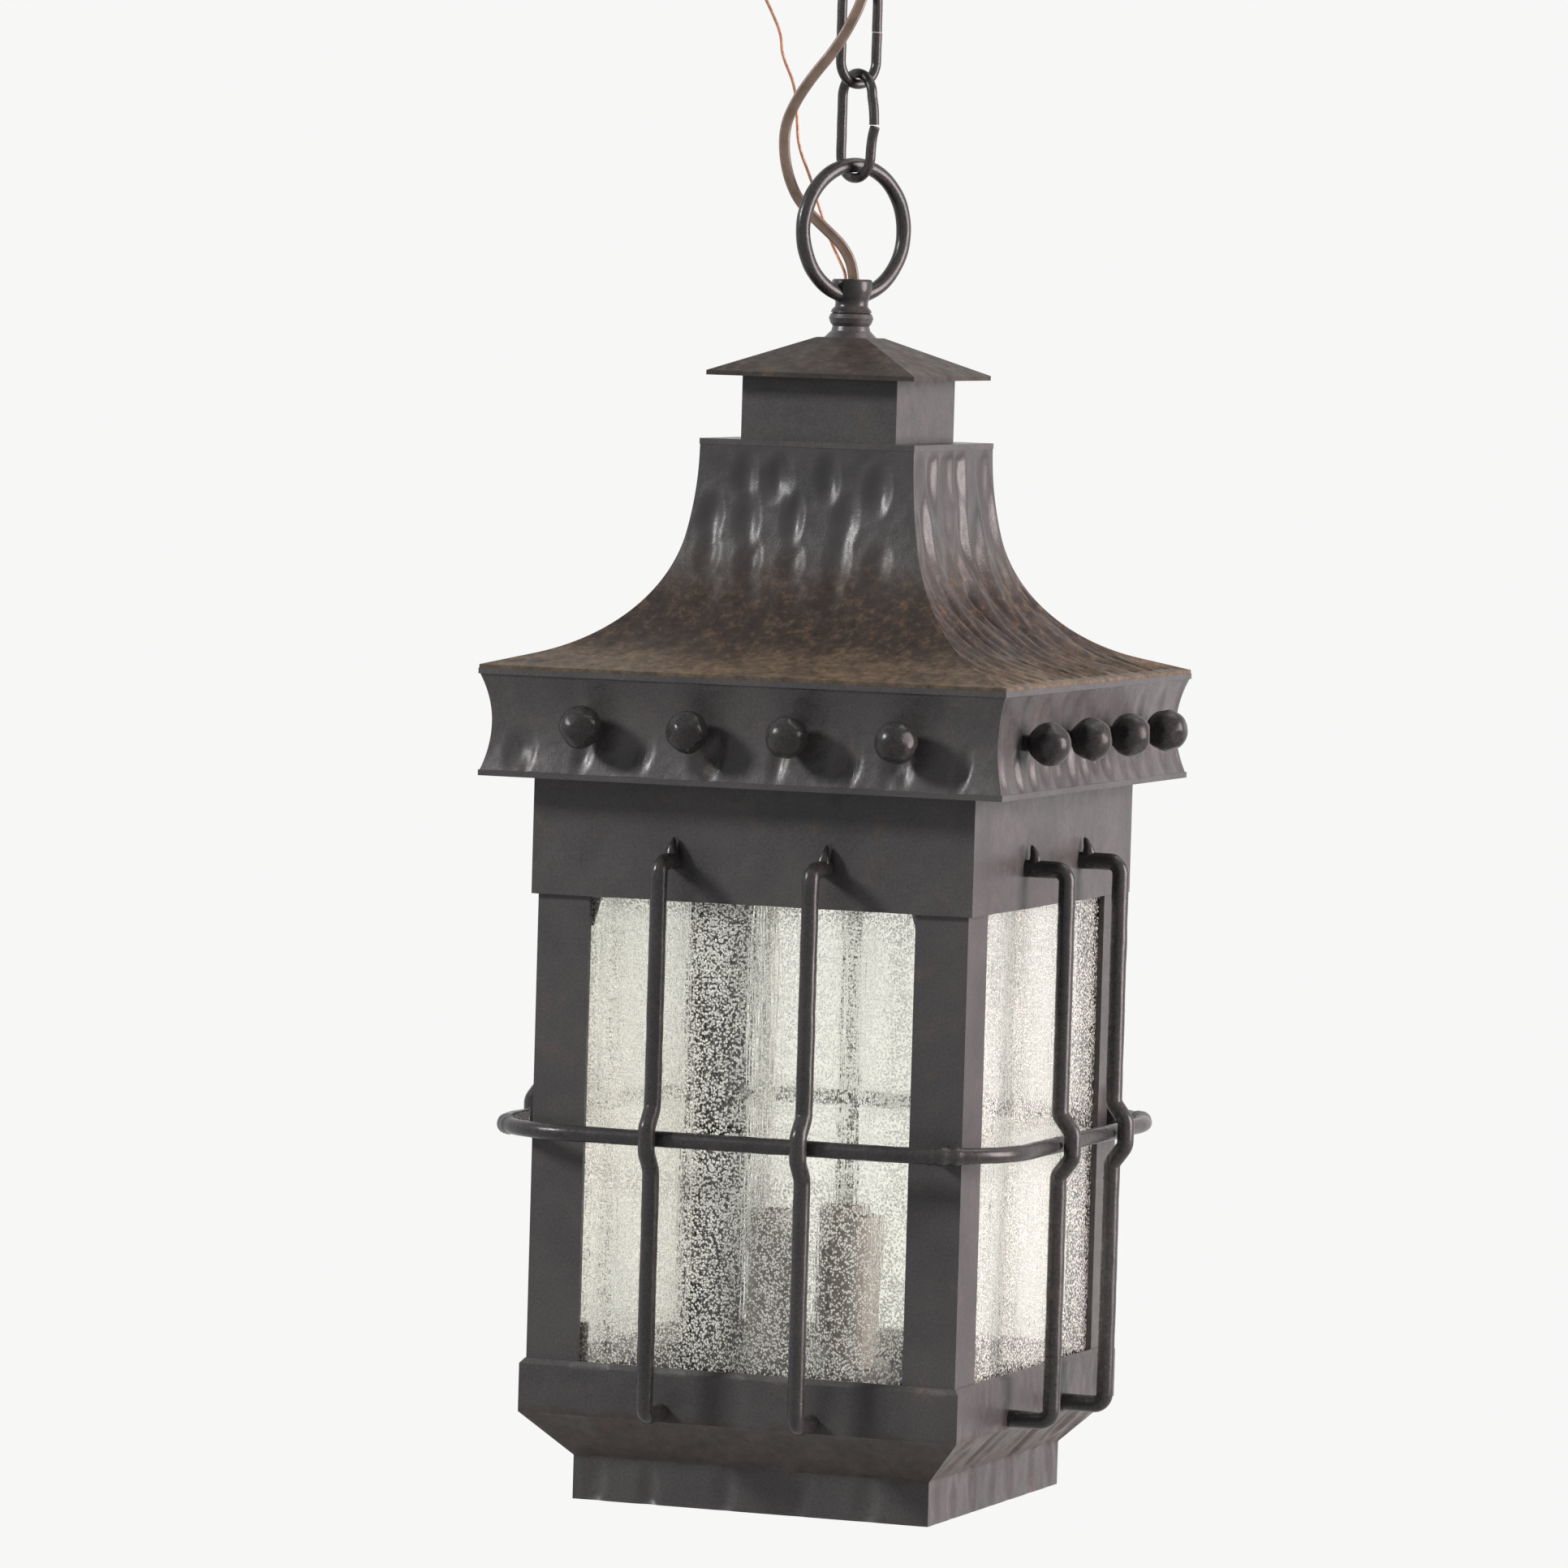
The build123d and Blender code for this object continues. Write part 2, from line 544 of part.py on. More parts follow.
def make_neck_coupling():
    """Round bead below the ring's neck."""
    thread = threaded_bore() / 2
    waist = COUPLING_NECK_DIAMETER / 2
    bead = COUPLING_DIAMETER / 2
    top = RING_NECK_FOOT
    shoulder = bead - COUPLING_ROUNDING
    return turned(
        (thread, top), (waist, top), (shoulder, top - COUPLING_ROUNDING),
        (bead, top - COUPLING_HEIGHT * 0.4), (shoulder, top - COUPLING_HEIGHT * 0.75),
        (waist, COUPLING_FOOT), (thread, COUPLING_FOOT),
    )


def make_stem_foot():
    """Flared foot that presses the cap down."""
    thread = threaded_bore() / 2
    waist = COUPLING_NECK_DIAMETER / 2
    foot = STEM_FOOT_DIAMETER / 2
    return turned(
        (thread, COUPLING_FOOT), (waist, COUPLING_FOOT),
        (waist + STEM_WAIST_FLARE, COUPLING_FOOT - STEM_WAIST_DROP),
        (foot - STEM_FOOT_LIP, CAP_TOP + STEM_FOOT_LIP), (foot, CAP_TOP), (thread, CAP_TOP),
    )


def make_hanger_nut():
    """Washer and nut that draw the cap, vent box and roof together."""
    bore = threaded_bore()
    washer = Cylinder(WASHER_DIAMETER / 2, WASHER_THICK) - Cylinder(bore / 2, 2 * WASHER_THICK)
    washer = Pos(0, 0, ROOF_TOP - WASHER_THICK / 2) * washer
    return Compound([washer, hexagon_nut(ROOF_TOP - WASHER_THICK, bore)])


def make_cupola_cap():
    """Shallow hipped cap in sheet, open below."""
    within_hole = PIPE_DIAMETER / 4
    section = section_face(
        (within_hole, CAP_TOP), (CAP_FLAT_HALF, CAP_TOP), (CAP_HALF, CAP_EAVE),
        (CAP_HALF, CAP_EAVE - CAP_SHEET), (CAP_FLAT_HALF, CAP_TOP - CAP_SHEET),
        (within_hole, CAP_TOP - CAP_SHEET),
    )
    hole = Pos(0, 0, CAP_TOP) * Cylinder(threaded_bore() / 2, 4 * CAP_SHEET)
    return mitred(section) - hole


def make_cupola_box():
    """Square vent box that stands on the roof plate and carries the cap."""
    slope = CAP_HEIGHT / (CAP_HALF - CAP_FLAT_HALF)
    top = CAP_TOP - CAP_SHEET - slope * (VENT_BOX_HALF - CAP_FLAT_HALF)
    inner = VENT_BOX_HALF - VENT_BOX_SHEET
    walls = Rectangle(2 * VENT_BOX_HALF, 2 * VENT_BOX_HALF) - Rectangle(2 * inner, 2 * inner)
    return Pos(0, 0, ROOF_PLATE_TOP) * extrude(walls, amount=top - ROOF_PLATE_TOP)


def make_roof_plate():
    """Square plate that closes the roof's top."""
    width = 2 * ROOF_PLATE_HALF
    plate = Box(width, width, ROOF_PLATE_THICK) - Cylinder(threaded_bore() / 2, 2 * ROOF_PLATE_THICK)
    return Pos(0, 0, ROOF_TOP + ROOF_PLATE_THICK / 2) * plate


def flare(inset):
    """One side of the flared roof's section, `inset` inside its outer face."""
    start = (ROOF_TOP_HALF - inset, ROOF_TOP)
    upper = JernArc(start, (0, -1), ROOF_UPPER_RADIUS + inset, ROOF_UPPER_DEGREES)
    lower = JernArc(upper @ 1, upper % 1, ROOF_LOWER_RADIUS + inset, ROOF_LOWER_DEGREES)
    rim = (BAND_HALF - ROOF_EDGE_SETBACK, ROOF_EDGE - inset)
    edge = Line(lower @ 1, rim)
    return upper, lower, edge


def make_roof():
    """Flared roof in sheet: upright at the top and nearly flat at its edge."""
    outer = flare(0)
    inner = flare(ROOF_SHEET)
    return mitred(outlined_face(
        *outer, Line(outer[-1] @ 1, inner[-1] @ 1), *inner, Line(inner[0] @ 0, outer[0] @ 0),
    ))


def band_web(inset):
    """Hollow outer face of the band, `inset` inside it."""
    top = BAND_TOP - BAND_LIP
    foot = BAND_FOOT + BAND_LIP
    level = (top + foot) / 2
    return ThreePointArc(
        (BAND_HALF - BAND_LIP_STEP - inset, top),
        (BAND_WAIST_HALF - inset, level),
        (BAND_LOWER_HALF - BAND_LIP_STEP - inset, foot),
    )


def make_band():
    """Hollow-faced band with an upper flange under the roof and a soffit below."""
    top = BAND_TOP - BAND_LIP
    foot = BAND_FOOT + BAND_LIP
    outer_web = band_web(0)
    outer = outlined_face(
        Line((FASCIA_HALF, BAND_TOP), (BAND_HALF, BAND_TOP)),
        Line((BAND_HALF, BAND_TOP), (BAND_HALF, top)),
        Line((BAND_HALF, top), outer_web @ 0),
        outer_web,
        Line(outer_web @ 1, (BAND_LOWER_HALF, foot)),
        Line((BAND_LOWER_HALF, foot), (BAND_LOWER_HALF, BAND_FOOT)),
        Line((BAND_LOWER_HALF, BAND_FOOT), (FASCIA_HALF, BAND_FOOT)),
        Line((FASCIA_HALF, BAND_FOOT), (FASCIA_HALF, BAND_TOP)),
    )
    inner_web = band_web(BAND_SHEET)
    inside = ANGLE_HALF
    hollow = outlined_face(
        Line((inside, top), inner_web @ 0),
        inner_web,
        Line(inner_web @ 1, (inside, foot)),
        Line((inside, foot), (inside, top)),
    )
    opening = Pos(0, 0, top) * Box(2 * BAND_OPENING_HALF, 2 * BAND_OPENING_HALF, 4 * BAND_LIP)
    band = mitred(outer) - mitred(hollow) - opening
    shank_hole = Rot(0, 90, 0) * Cylinder(BALL_SHANK_DIAMETER / 2 + SHANK_CLEARANCE, 8 * BAND_SHEET)
    for turn in range(4):
        for row in ball_row(turn):
            band = band - Rot(0, 0, 90 * turn) * Pos(BAND_WAIST_HALF, row, ball_level()) * shank_hole
    return band


def ball_level():
    return (BAND_TOP + BAND_FOOT) / 2


def ball_row(quarter):
    """Hand-set places of the balls along one face; the front and back rows are alike."""
    return (RIGHT_BALL_ROW, FRONT_BALL_ROW, LEFT_BALL_ROW, FRONT_BALL_ROW)[quarter]


def make_ball_studs():
    """Forged balls on shanks riveted through the band's waist."""
    ball = BALL_DIAMETER / 2
    centre = BAND_WAIST_HALF + BALL_NECK + ball
    inner_face = BAND_WAIST_HALF - BAND_SHEET
    stud = Pos(centre, 0, 0) * Sphere(ball)
    neck_length = BALL_NECK + ball - BALL_SEAT_PLAY
    lying = Rot(0, 90, 0)
    neck = lying * Cylinder(BALL_NECK_DIAMETER / 2, neck_length)
    neck = Pos(BAND_WAIST_HALF + BALL_SEAT_PLAY + neck_length / 2, 0, 0) * neck
    shank = lying * Cylinder(BALL_SHANK_DIAMETER / 2, BAND_SHEET + 2 * BALL_SHANK_END)
    shank = Pos(BAND_WAIST_HALF - BAND_SHEET / 2, 0, 0) * shank
    head = lying * Cylinder(BALL_RIVET_DIAMETER / 2, BALL_RIVET_THICK)
    head = Pos(inner_face - SHANK_CLEARANCE - BALL_RIVET_THICK / 2, 0, 0) * head
    stud = stud + neck + shank + head
    studs = []
    for turn in range(4):
        for row in ball_row(turn):
            studs.append(Rot(0, 0, 90 * turn) * Pos(0, row, ball_level()) * stud)
    return Compound(studs)


def make_fascia():
    """Square frame of flat strip that hangs below the band."""
    top = BAND_FOOT + FASCIA_RISE
    inner = ANGLE_HALF
    return mitred(section_face(
        (inner, top), (FASCIA_HALF, top), (FASCIA_HALF, FASCIA_FOOT), (inner, FASCIA_FOOT),
    ))


def make_corner_angle(quarter):
    """Rolled angle that stands in one corner of the cage."""
    top = ROOF_EDGE - ANGLE_TOP_DROP
    leg = Polyline(
        (ANGLE_HALF, ANGLE_HALF), (WINDOW_HALF, ANGLE_HALF), (WINDOW_HALF, GLASS_OUTER),
        (GLASS_OUTER, GLASS_OUTER), (GLASS_OUTER, WINDOW_HALF), (ANGLE_HALF, WINDOW_HALF), close=True,
    )
    angle = Pos(0, 0, top - ANGLE_LENGTH) * extrude(make_face(leg), amount=ANGLE_LENGTH)
    return Rot(0, 0, 90 * quarter) * angle


def make_pane(quarter):
    """One pane of seeded glass behind the corner angles."""
    pane = Box(GLASS_THICK, 2 * GLASS_HALF_WIDTH, GLASS_HEIGHT)
    place = Pos((GLASS_OUTER + GLASS_INNER) / 2, 0, (GLASS_TOP + GLASS_FOOT) / 2)
    return Rot(0, 0, 90 * quarter) * place * pane


def clip_leg(reach_top, reach_foot, top, foot):
    """One leg of a clip, flat against the inner face of the pane on +Y."""
    face = GLASS_INNER - CLIP_PLAY
    leg = section_face((face, top), (reach_top, top), (reach_foot, foot), (face, foot))
    return Pos(0, face, 0) * extrude(leg, amount=CLIP_THICK, dir=(0, -1, 0))


def across_corner(form):
    """The same form on the other face of the corner between +X and +Y."""
    return mirror(form, about=Plane(origin=(0, 0, 0), z_dir=(1, -1, 0)))


def make_corner_clip(reach_top, reach_foot, top, foot):
    """L clip whose heel fills the corner between two panes up to the angle."""
    leg = clip_leg(reach_top, reach_foot, top, foot)
    near = GLASS_INNER - CLIP_PLAY - CLIP_THICK
    size = GLASS_OUTER - near
    middle = (GLASS_OUTER + near) / 2
    level = (top + foot) / 2
    heel = Pos(middle, middle, level) * Box(size, size, top - foot)
    pane_edge = GLASS_HALF_WIDTH + CLIP_EDGE_PLAY
    pane = Box(pane_edge, 2 * GLASS_THICK, 2 * (top - foot))
    pane = Pos(pane_edge / 2, GLASS_INNER - CLIP_PLAY + GLASS_THICK, level) * pane
    return (leg + across_corner(leg) + heel) - pane - across_corner(pane)


def make_glass_clips():
    """Clips at the foot and the top of each corner."""
    window_foot = TRAY_TOP - TRAY_CHAMFER
    lower_top = window_foot + CLIP_LOWER_SHOWS
    lower_reach = WINDOW_HALF - CLIP_LOWER_REACH
    lower_foot = window_foot - CLIP_LOWER_OVERLAP
    lower = make_corner_clip(lower_reach, lower_reach, lower_top, lower_foot)
    ledge_inner = GLASS_INNER - CLIP_PLAY - CLIP_THICK
    ledge_depth = CLIP_THICK + CLIP_LEDGE_REACH
    ledge = Box(CLIP_LEDGE_LENGTH, ledge_depth, CLIP_THICK)
    ledge_x = GLASS_HALF_WIDTH - CLIP_LEDGE_INSET - CLIP_LEDGE_LENGTH / 2
    ledge_level = GLASS_FOOT - CLIP_LEDGE_DROP - CLIP_THICK / 2
    ledge = Pos(ledge_x, ledge_inner + ledge_depth / 2, ledge_level) * ledge
    lower = lower + ledge + across_corner(ledge)
    upper_top = FASCIA_FOOT + CLIP_UPPER_OVERLAP
    upper_foot = FASCIA_FOOT - CLIP_UPPER_SHOWS
    upper = make_corner_clip(WINDOW_HALF - CLIP_UPPER_REACH, WINDOW_HALF, upper_top, upper_foot)
    clips = []
    for turn in range(4):
        clips.append(Rot(0, 0, 90 * turn) * lower)
        clips.append(Rot(0, 0, 90 * turn) * upper)
    return Compound(clips)


def tray_profile(inset):
    """Outer or inner line of the base tray's section, from its rail to its skirt."""
    half = TRAY_HALF - inset
    skirt = TRAY_SKIRT_HALF - inset
    slope_run = TRAY_HALF - TRAY_SKIRT_HALF
    lean = math.atan2(slope_run, TRAY_SLOPE_HEIGHT)
    shift = inset * math.tan(lean / 2)
    rail_foot = TRAY_TOP - TRAY_RAIL_HEIGHT + shift
    slope_foot = rail_foot - TRAY_SLOPE_HEIGHT
    skirt_foot = TRAY_TOP - TRAY_RAIL_HEIGHT - TRAY_SLOPE_HEIGHT - TRAY_SKIRT_HEIGHT
    return [(half, rail_foot), (skirt, slope_foot), (skirt, skirt_foot)]


def make_base_tray():
    """Base tray: a chamfered rail, a slope and an upright skirt, open below."""
    outer = tray_profile(0)
    inner = tray_profile(TRAY_SHEET)
    inner_half = TRAY_HALF - TRAY_SHEET
    section = section_face(
        (inner_half, TRAY_TOP), (inner_half + TRAY_EDGE, TRAY_TOP), (TRAY_HALF, TRAY_TOP - TRAY_CHAMFER),
        *outer, *reversed(inner),
    )
    return mitred(section)


def rod_leg_levels():
    top = ROOF_EDGE - ROD_TOP_DROP
    foot = TRAY_TOP - ROD_FOOT_BELOW_TRAY_TOP
    return top, foot


def make_guard_rod(offset_along):
    """Guard rod in front of the +X face, joggled out where it passes the hoop."""
    top, foot = rod_leg_levels()
    out = ROD_LINE
    joggle = out + ROD_JOGGLE
    hold = JOGGLE_HOLD / 2
    points = [
        (FASCIA_HALF, 0, top), (out, 0, top),
        (out, 0, HOOP_LEVEL + hold + JOGGLE_SLANT), (joggle, 0, HOOP_LEVEL + hold),
        (joggle, 0, HOOP_LEVEL - hold), (out, 0, HOOP_LEVEL - hold - JOGGLE_SLANT),
        (out, 0, foot), (TRAY_HALF, 0, foot),
    ]
    rod = swept_rod(FilletPolyline(*points, radius=ROD_BEND), ROD_DIAMETER)
    tip_base = Vector(FASCIA_HALF + ROD_TIP_BASE / 2 + TIP_CLEARANCE, 0, top)
    tip_end = Vector(FASCIA_HALF + ROD_TIP_END / 2 + TIP_CLEARANCE, 0, top + ROD_TIP_HEIGHT)
    along = tip_end - tip_base
    on_base = (Align.CENTER, Align.CENTER, Align.MIN)
    tip = Cone(ROD_TIP_BASE / 2, ROD_TIP_END / 2, along.length, align=on_base)
    tip = Plane(origin=tip_base, z_dir=along) * tip
    rod = rod + tip
    behind = 4 * ROD_DIAMETER
    flush = Pos(FASCIA_HALF - behind / 2, 0, top) * Box(behind, behind, behind)
    return Pos(0, offset_along, 0) * (rod - flush)


def make_guard_rods(quarter):
    """The pair of guard rods on one face."""
    pair = [Rot(0, 0, 90 * quarter) * make_guard_rod(side * ROD_OFFSET) for side in (-1, 1)]
    return Compound(pair)


def hoop_half():
    """Half width of the hoop's centre line, just inside the rods' joggles."""
    return ROD_LINE + ROD_JOGGLE - ROD_DIAMETER / 2 - HOOP_PLAY - HOOP_DIAMETER / 2


def hoop_bar(diameter):
    half = hoop_half()
    straight = half - HOOP_CORNER
    lines = []
    for quarter in range(4):
        turn = Rot(0, 0, 90 * quarter)
        side = Line((half, -straight, HOOP_LEVEL), (half, straight, HOOP_LEVEL))
        middle = straight + HOOP_CORNER * math.sqrt(0.5)
        bend = ThreePointArc((half, straight, HOOP_LEVEL), (middle, middle, HOOP_LEVEL),
                             (straight, half, HOOP_LEVEL))
        lines.append((turn * side).edge())
        lines.append((turn * bend).edge())
    return swept_rod(Wire(lines), diameter)


def hoop_lug(rise):
    """Small angle bracket on the right face, cut to the hoop's bar."""
    foot = HOOP_LEVEL - HOOP_DIAMETER / 2
    width = LUG_WIDTH / 2
    face = ANGLE_HALF
    reach = face + LUG_THICK + HOOP_CORNER / 2
    upright = make_face(Polyline(
        (0, -width, foot), (0, width, foot), (0, width, foot + rise - LUG_TAPER),
        (0, width - LUG_TAPER, foot + rise), (0, LUG_TAPER - width, foot + rise),
        (0, -width, foot + rise - LUG_TAPER), close=True,
    ))
    upright = Pos(face, 0, 0) * extrude(upright, amount=LUG_THICK, dir=(1, 0, 0))
    arm = Pos((face + reach) / 2, 0, foot + LUG_THICK / 2) * Box(reach - face, LUG_WIDTH, LUG_THICK)
    lug = Pos(0, LUG_LINE, 0) * (upright + arm)
    lug = lug - hoop_bar(HOOP_DIAMETER + 2 * LUG_WELD_GAP)
    return lug.solids().sort_by(Axis.X)[0]


def make_hoop_lugs():
    """Brackets that tie the hoop's corners to the corner angles."""
    return Compound([Rot(0, 0, 90 * quarter) * hoop_lug(rise) for quarter, rise in enumerate(LUG_RISES)])


def make_cluster_strap():
    """Strap across the base with its ends turned down against the rail."""
    inner = TRAY_HALF - TRAY_SHEET
    strap = Pos(0, 0, STRAP_TOP - STRAP_THICK / 2) * Box(2 * inner, STRAP_WIDTH, STRAP_THICK)
    tab = Box(STRAP_THICK, STRAP_WIDTH, STRAP_TAB)
    for side in (-1, 1):
        strap = strap + Pos(side * (inner - STRAP_THICK / 2), 0, STRAP_TOP - STRAP_TAB / 2) * tab
    return strap - Pos(0, 0, STRAP_TOP) * Cylinder(threaded_bore() / 2, 4 * STRAP_THICK)


def make_cluster_body():
    """Inverted pan that carries the three candle posts."""
    radius = CLUSTER_DIAMETER / 2
    pan = Cylinder(radius, CLUSTER_HEIGHT)
    pan = fillet(pan.edges().sort_by(Axis.Z)[-1], CLUSTER_EDGE_RADIUS)
    pan = offset(pan, amount=-CLUSTER_SHEET, openings=pan.faces().sort_by(Axis.Z)[0])
    pan = pan - Cylinder(threaded_bore() / 2, 4 * CLUSTER_HEIGHT)
    return Pos(0, 0, STRAP_TOP + CLUSTER_HEIGHT / 2) * pan


def cluster_pipe_top():
    return CLUSTER_TOP + NUT_THICK + CLUSTER_PIPE_RISE


def cluster_pipe_length():
    return cluster_pipe_top() - (STRAP_TOP - STRAP_THICK - NUT_THICK - CLUSTER_PIPE_RISE)


def make_cluster_nuts():
    """Nuts above the pan and below the strap."""
    bore = threaded_bore()
    tops = (CLUSTER_TOP + NUT_THICK, STRAP_TOP - STRAP_THICK)
    return Compound([hexagon_nut(top, bore) for top in tops])


def candle_place(index):
    angle = math.radians(90 + 360 / CANDLE_COUNT * index)
    return Pos(CANDLE_CIRCLE_RADIUS * math.cos(angle), CANDLE_CIRCLE_RADIUS * math.sin(angle), 0)


def make_socket(index):
    """Candle socket with a screw shell, on its post."""
    sleeve_top = CLUSTER_TOP + CANDLE_SLEEVE_HEIGHT
    top = sleeve_top - SOCKET_BELOW_SLEEVE
    foot = top - SOCKET_BORE_DEPTH - SOCKET_BASE_HEIGHT
    outer = SOCKET_DIAMETER / 2
    post = SOCKET_POST_DIAMETER / 2
    return candle_place(index) * turned(
        (0, CLUSTER_TOP), (post, CLUSTER_TOP), (post, foot - SOCKET_SHOULDER), (outer, foot), (outer, top),
        (SOCKET_BORE_RADIUS, top), (SOCKET_BORE_RADIUS, top - SOCKET_BORE_DEPTH),
        (0, top - SOCKET_BORE_DEPTH),
    )


def make_candle_sleeve(index):
    """Candle cover that stands on the pan round its socket."""
    outer = CANDLE_SLEEVE_DIAMETER / 2
    inner = outer - CANDLE_SLEEVE_WALL
    top = CLUSTER_TOP + CANDLE_SLEEVE_HEIGHT
    return candle_place(index) * turned(
        (inner, CLUSTER_TOP), (outer, CLUSTER_TOP), (outer, top - SLEEVE_LIP_HEIGHT),
        (outer - SLEEVE_LIP, top), (inner, top),
    )


def conduit_levels():
    return GLASS_TOP + CONDUIT_ABOVE_GLASS, GLASS_FOOT - CONDUIT_BELOW_GLASS


def make_conduit():
    """Thin tube that takes the lamp lead down behind the back pane."""
    top, foot = conduit_levels()
    tube = Cylinder(CONDUIT_DIAMETER / 2, top - foot) - Cylinder(CONDUIT_BORE / 2, 2 * (top - foot))
    return Pos(CONDUIT_X, CONDUIT_Y, (top + foot) / 2) * tube


def make_conduit_brackets():
    """Brackets from the fascia and from the base rail that hold the conduit."""
    top, foot = conduit_levels()
    hold = CONDUIT_DIAMETER / 2 + CONDUIT_FIT
    near = CONDUIT_Y - hold - CONDUIT_TAB_WALL
    depth = ANGLE_HALF - near
    bore = Cylinder(hold, 4 * CONDUIT_TAB_HEIGHT)
    plate = Box(CONDUIT_TAB_WIDTH, depth, CONDUIT_TAB_HEIGHT)
    bracket = Pos(0, ANGLE_HALF - depth / 2 - CONDUIT_Y, 0) * plate - bore
    upper = GLASS_TOP + CONDUIT_TAB_GLASS_GAP + CONDUIT_TAB_HEIGHT / 2
    lower = GLASS_FOOT - CONDUIT_TAB_GLASS_GAP - CONDUIT_TAB_HEIGHT / 2
    return Compound([Pos(CONDUIT_X, CONDUIT_Y, level) * bracket for level in (upper, lower)])


def lamp_lead_points():
    """Route of the lamp lead from the ring's cup to the cluster's pipe."""
    start = CORD_LOWER[0]
    pipe_end = (start[0], start[1], HANGER_PIPE_FOOT - LAMP_LEAD_PIPE_DROP)
    cluster_end = (0.0, 0.0, STRAP_TOP - STRAP_THICK)
    return [start, pipe_end] + LAMP_LEAD_ROOF + LAMP_LEAD_BASE + [cluster_end]


def ground_lead_points():
    start = GROUND_LOWER[0]
    last = GROUND_LEAD_POINTS[-1]
    end = (last[0], last[1], ROOF_TOP - TERMINAL_HEAD_DEPTH)
    return [start] + GROUND_LEAD_POINTS + [end]


def make_ground_terminal():
    """Terminal screw head under the roof plate, where the ground lead ends."""
    x, y, level = GROUND_LEAD_POINTS[-1]
    head = Cylinder(TERMINAL_HEAD / 2, TERMINAL_HEAD_DEPTH)
    return Pos(x, y, ROOF_TOP - TERMINAL_HEAD_DEPTH / 2) * head


def build_parts():
    """Every sub-part by name, in its place."""
    parts = {}
    parts["canopy"] = make_canopy()
    parts["crossbar"] = make_crossbar()
    parts["canopy_nipple"] = pipe(-CANOPY_PIPE_BELOW_CEILING, CANOPY_PIPE_LENGTH)
    parts["crossbar_nut"] = hexagon_nut(-CROSSBAR_THICK, threaded_bore())
    parts["ground_screw"] = make_ground_screw()
    parts["canopy_loop"] = make_canopy_loop()
    parts["loop_collar"] = make_loop_collar()
    parts["upper_link"] = make_link(UPPER_LINK_TOP, RING_TURN)
    parts["lower_link"] = make_link(LOWER_LINK_TOP, RING_TURN - 90, LINK_JOINT_GAP, LINK_SPRING)

    cord = three_stretches(CORD_LOWER, CORD_MIDDLE, CORD_UPPER)
    ground = three_stretches(GROUND_LOWER, GROUND_MIDDLE, GROUND_UPPER)
    for place, cord_points, ground_points in zip(("lower", "middle", "upper"), cord, ground):
        parts[f"power_cord_{place}"] = lead(f"power_cord_{place}", cord_points, LEAD_DIAMETER)
        parts[f"ground_wire_{place}"] = lead(f"ground_wire_{place}", ground_points, GROUND_WIRE_DIAMETER)

    parts["hanging_ring"] = make_hanging_ring()
    parts["neck_coupling"] = make_neck_coupling()
    parts["stem_foot"] = make_stem_foot()
    parts["hanger_pipe"] = pipe(CAP_TOP + HANGER_PIPE_RISE, HANGER_PIPE_LENGTH)
    parts["hanger_nut"] = make_hanger_nut()
    parts["cupola_cap"] = make_cupola_cap()
    parts["cupola_box"] = make_cupola_box()
    parts["roof_plate"] = make_roof_plate()
    parts["roof"] = make_roof()
    parts["band"] = make_band()
    parts["ball_studs"] = make_ball_studs()
    parts["fascia"] = make_fascia()
    for quarter in range(4):
        parts[f"corner_angle_{quarter + 1}"] = make_corner_angle(quarter)
    for quarter, side in enumerate(("right", "back", "left", "front")):
        parts[f"glass_{side}"] = make_pane(quarter)
        parts[f"guard_rods_{side}"] = make_guard_rods(quarter)
    parts["glass_clips"] = make_glass_clips()
    parts["hoop"] = hoop_bar(HOOP_DIAMETER)
    parts["hoop_lugs"] = make_hoop_lugs()
    parts["base_tray"] = make_base_tray()
    parts["cluster_strap"] = make_cluster_strap()
    parts["cluster_body"] = make_cluster_body()
    parts["cluster_pipe"] = pipe(cluster_pipe_top(), cluster_pipe_length())
    parts["cluster_nuts"] = make_cluster_nuts()
    for index in range(CANDLE_COUNT):
        parts[f"socket_{index + 1}"] = make_socket(index)
        parts[f"candle_sleeve_{index + 1}"] = make_candle_sleeve(index)
    parts["wire_conduit"] = make_conduit()
    parts["conduit_brackets"] = make_conduit_brackets()
    parts["lamp_lead"] = lead("lamp_lead", lamp_lead_points(), LEAD_DIAMETER)
    parts["ground_lead"] = lead("ground_lead", ground_lead_points(), GROUND_WIRE_DIAMETER)
    parts["ground_terminal"] = make_ground_terminal()
    return parts


def main():
    os.makedirs("parts", exist_ok=True)
    for name, part in build_parts().items():
        export_step(part, f"parts/{name}.step")


main()
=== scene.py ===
import math

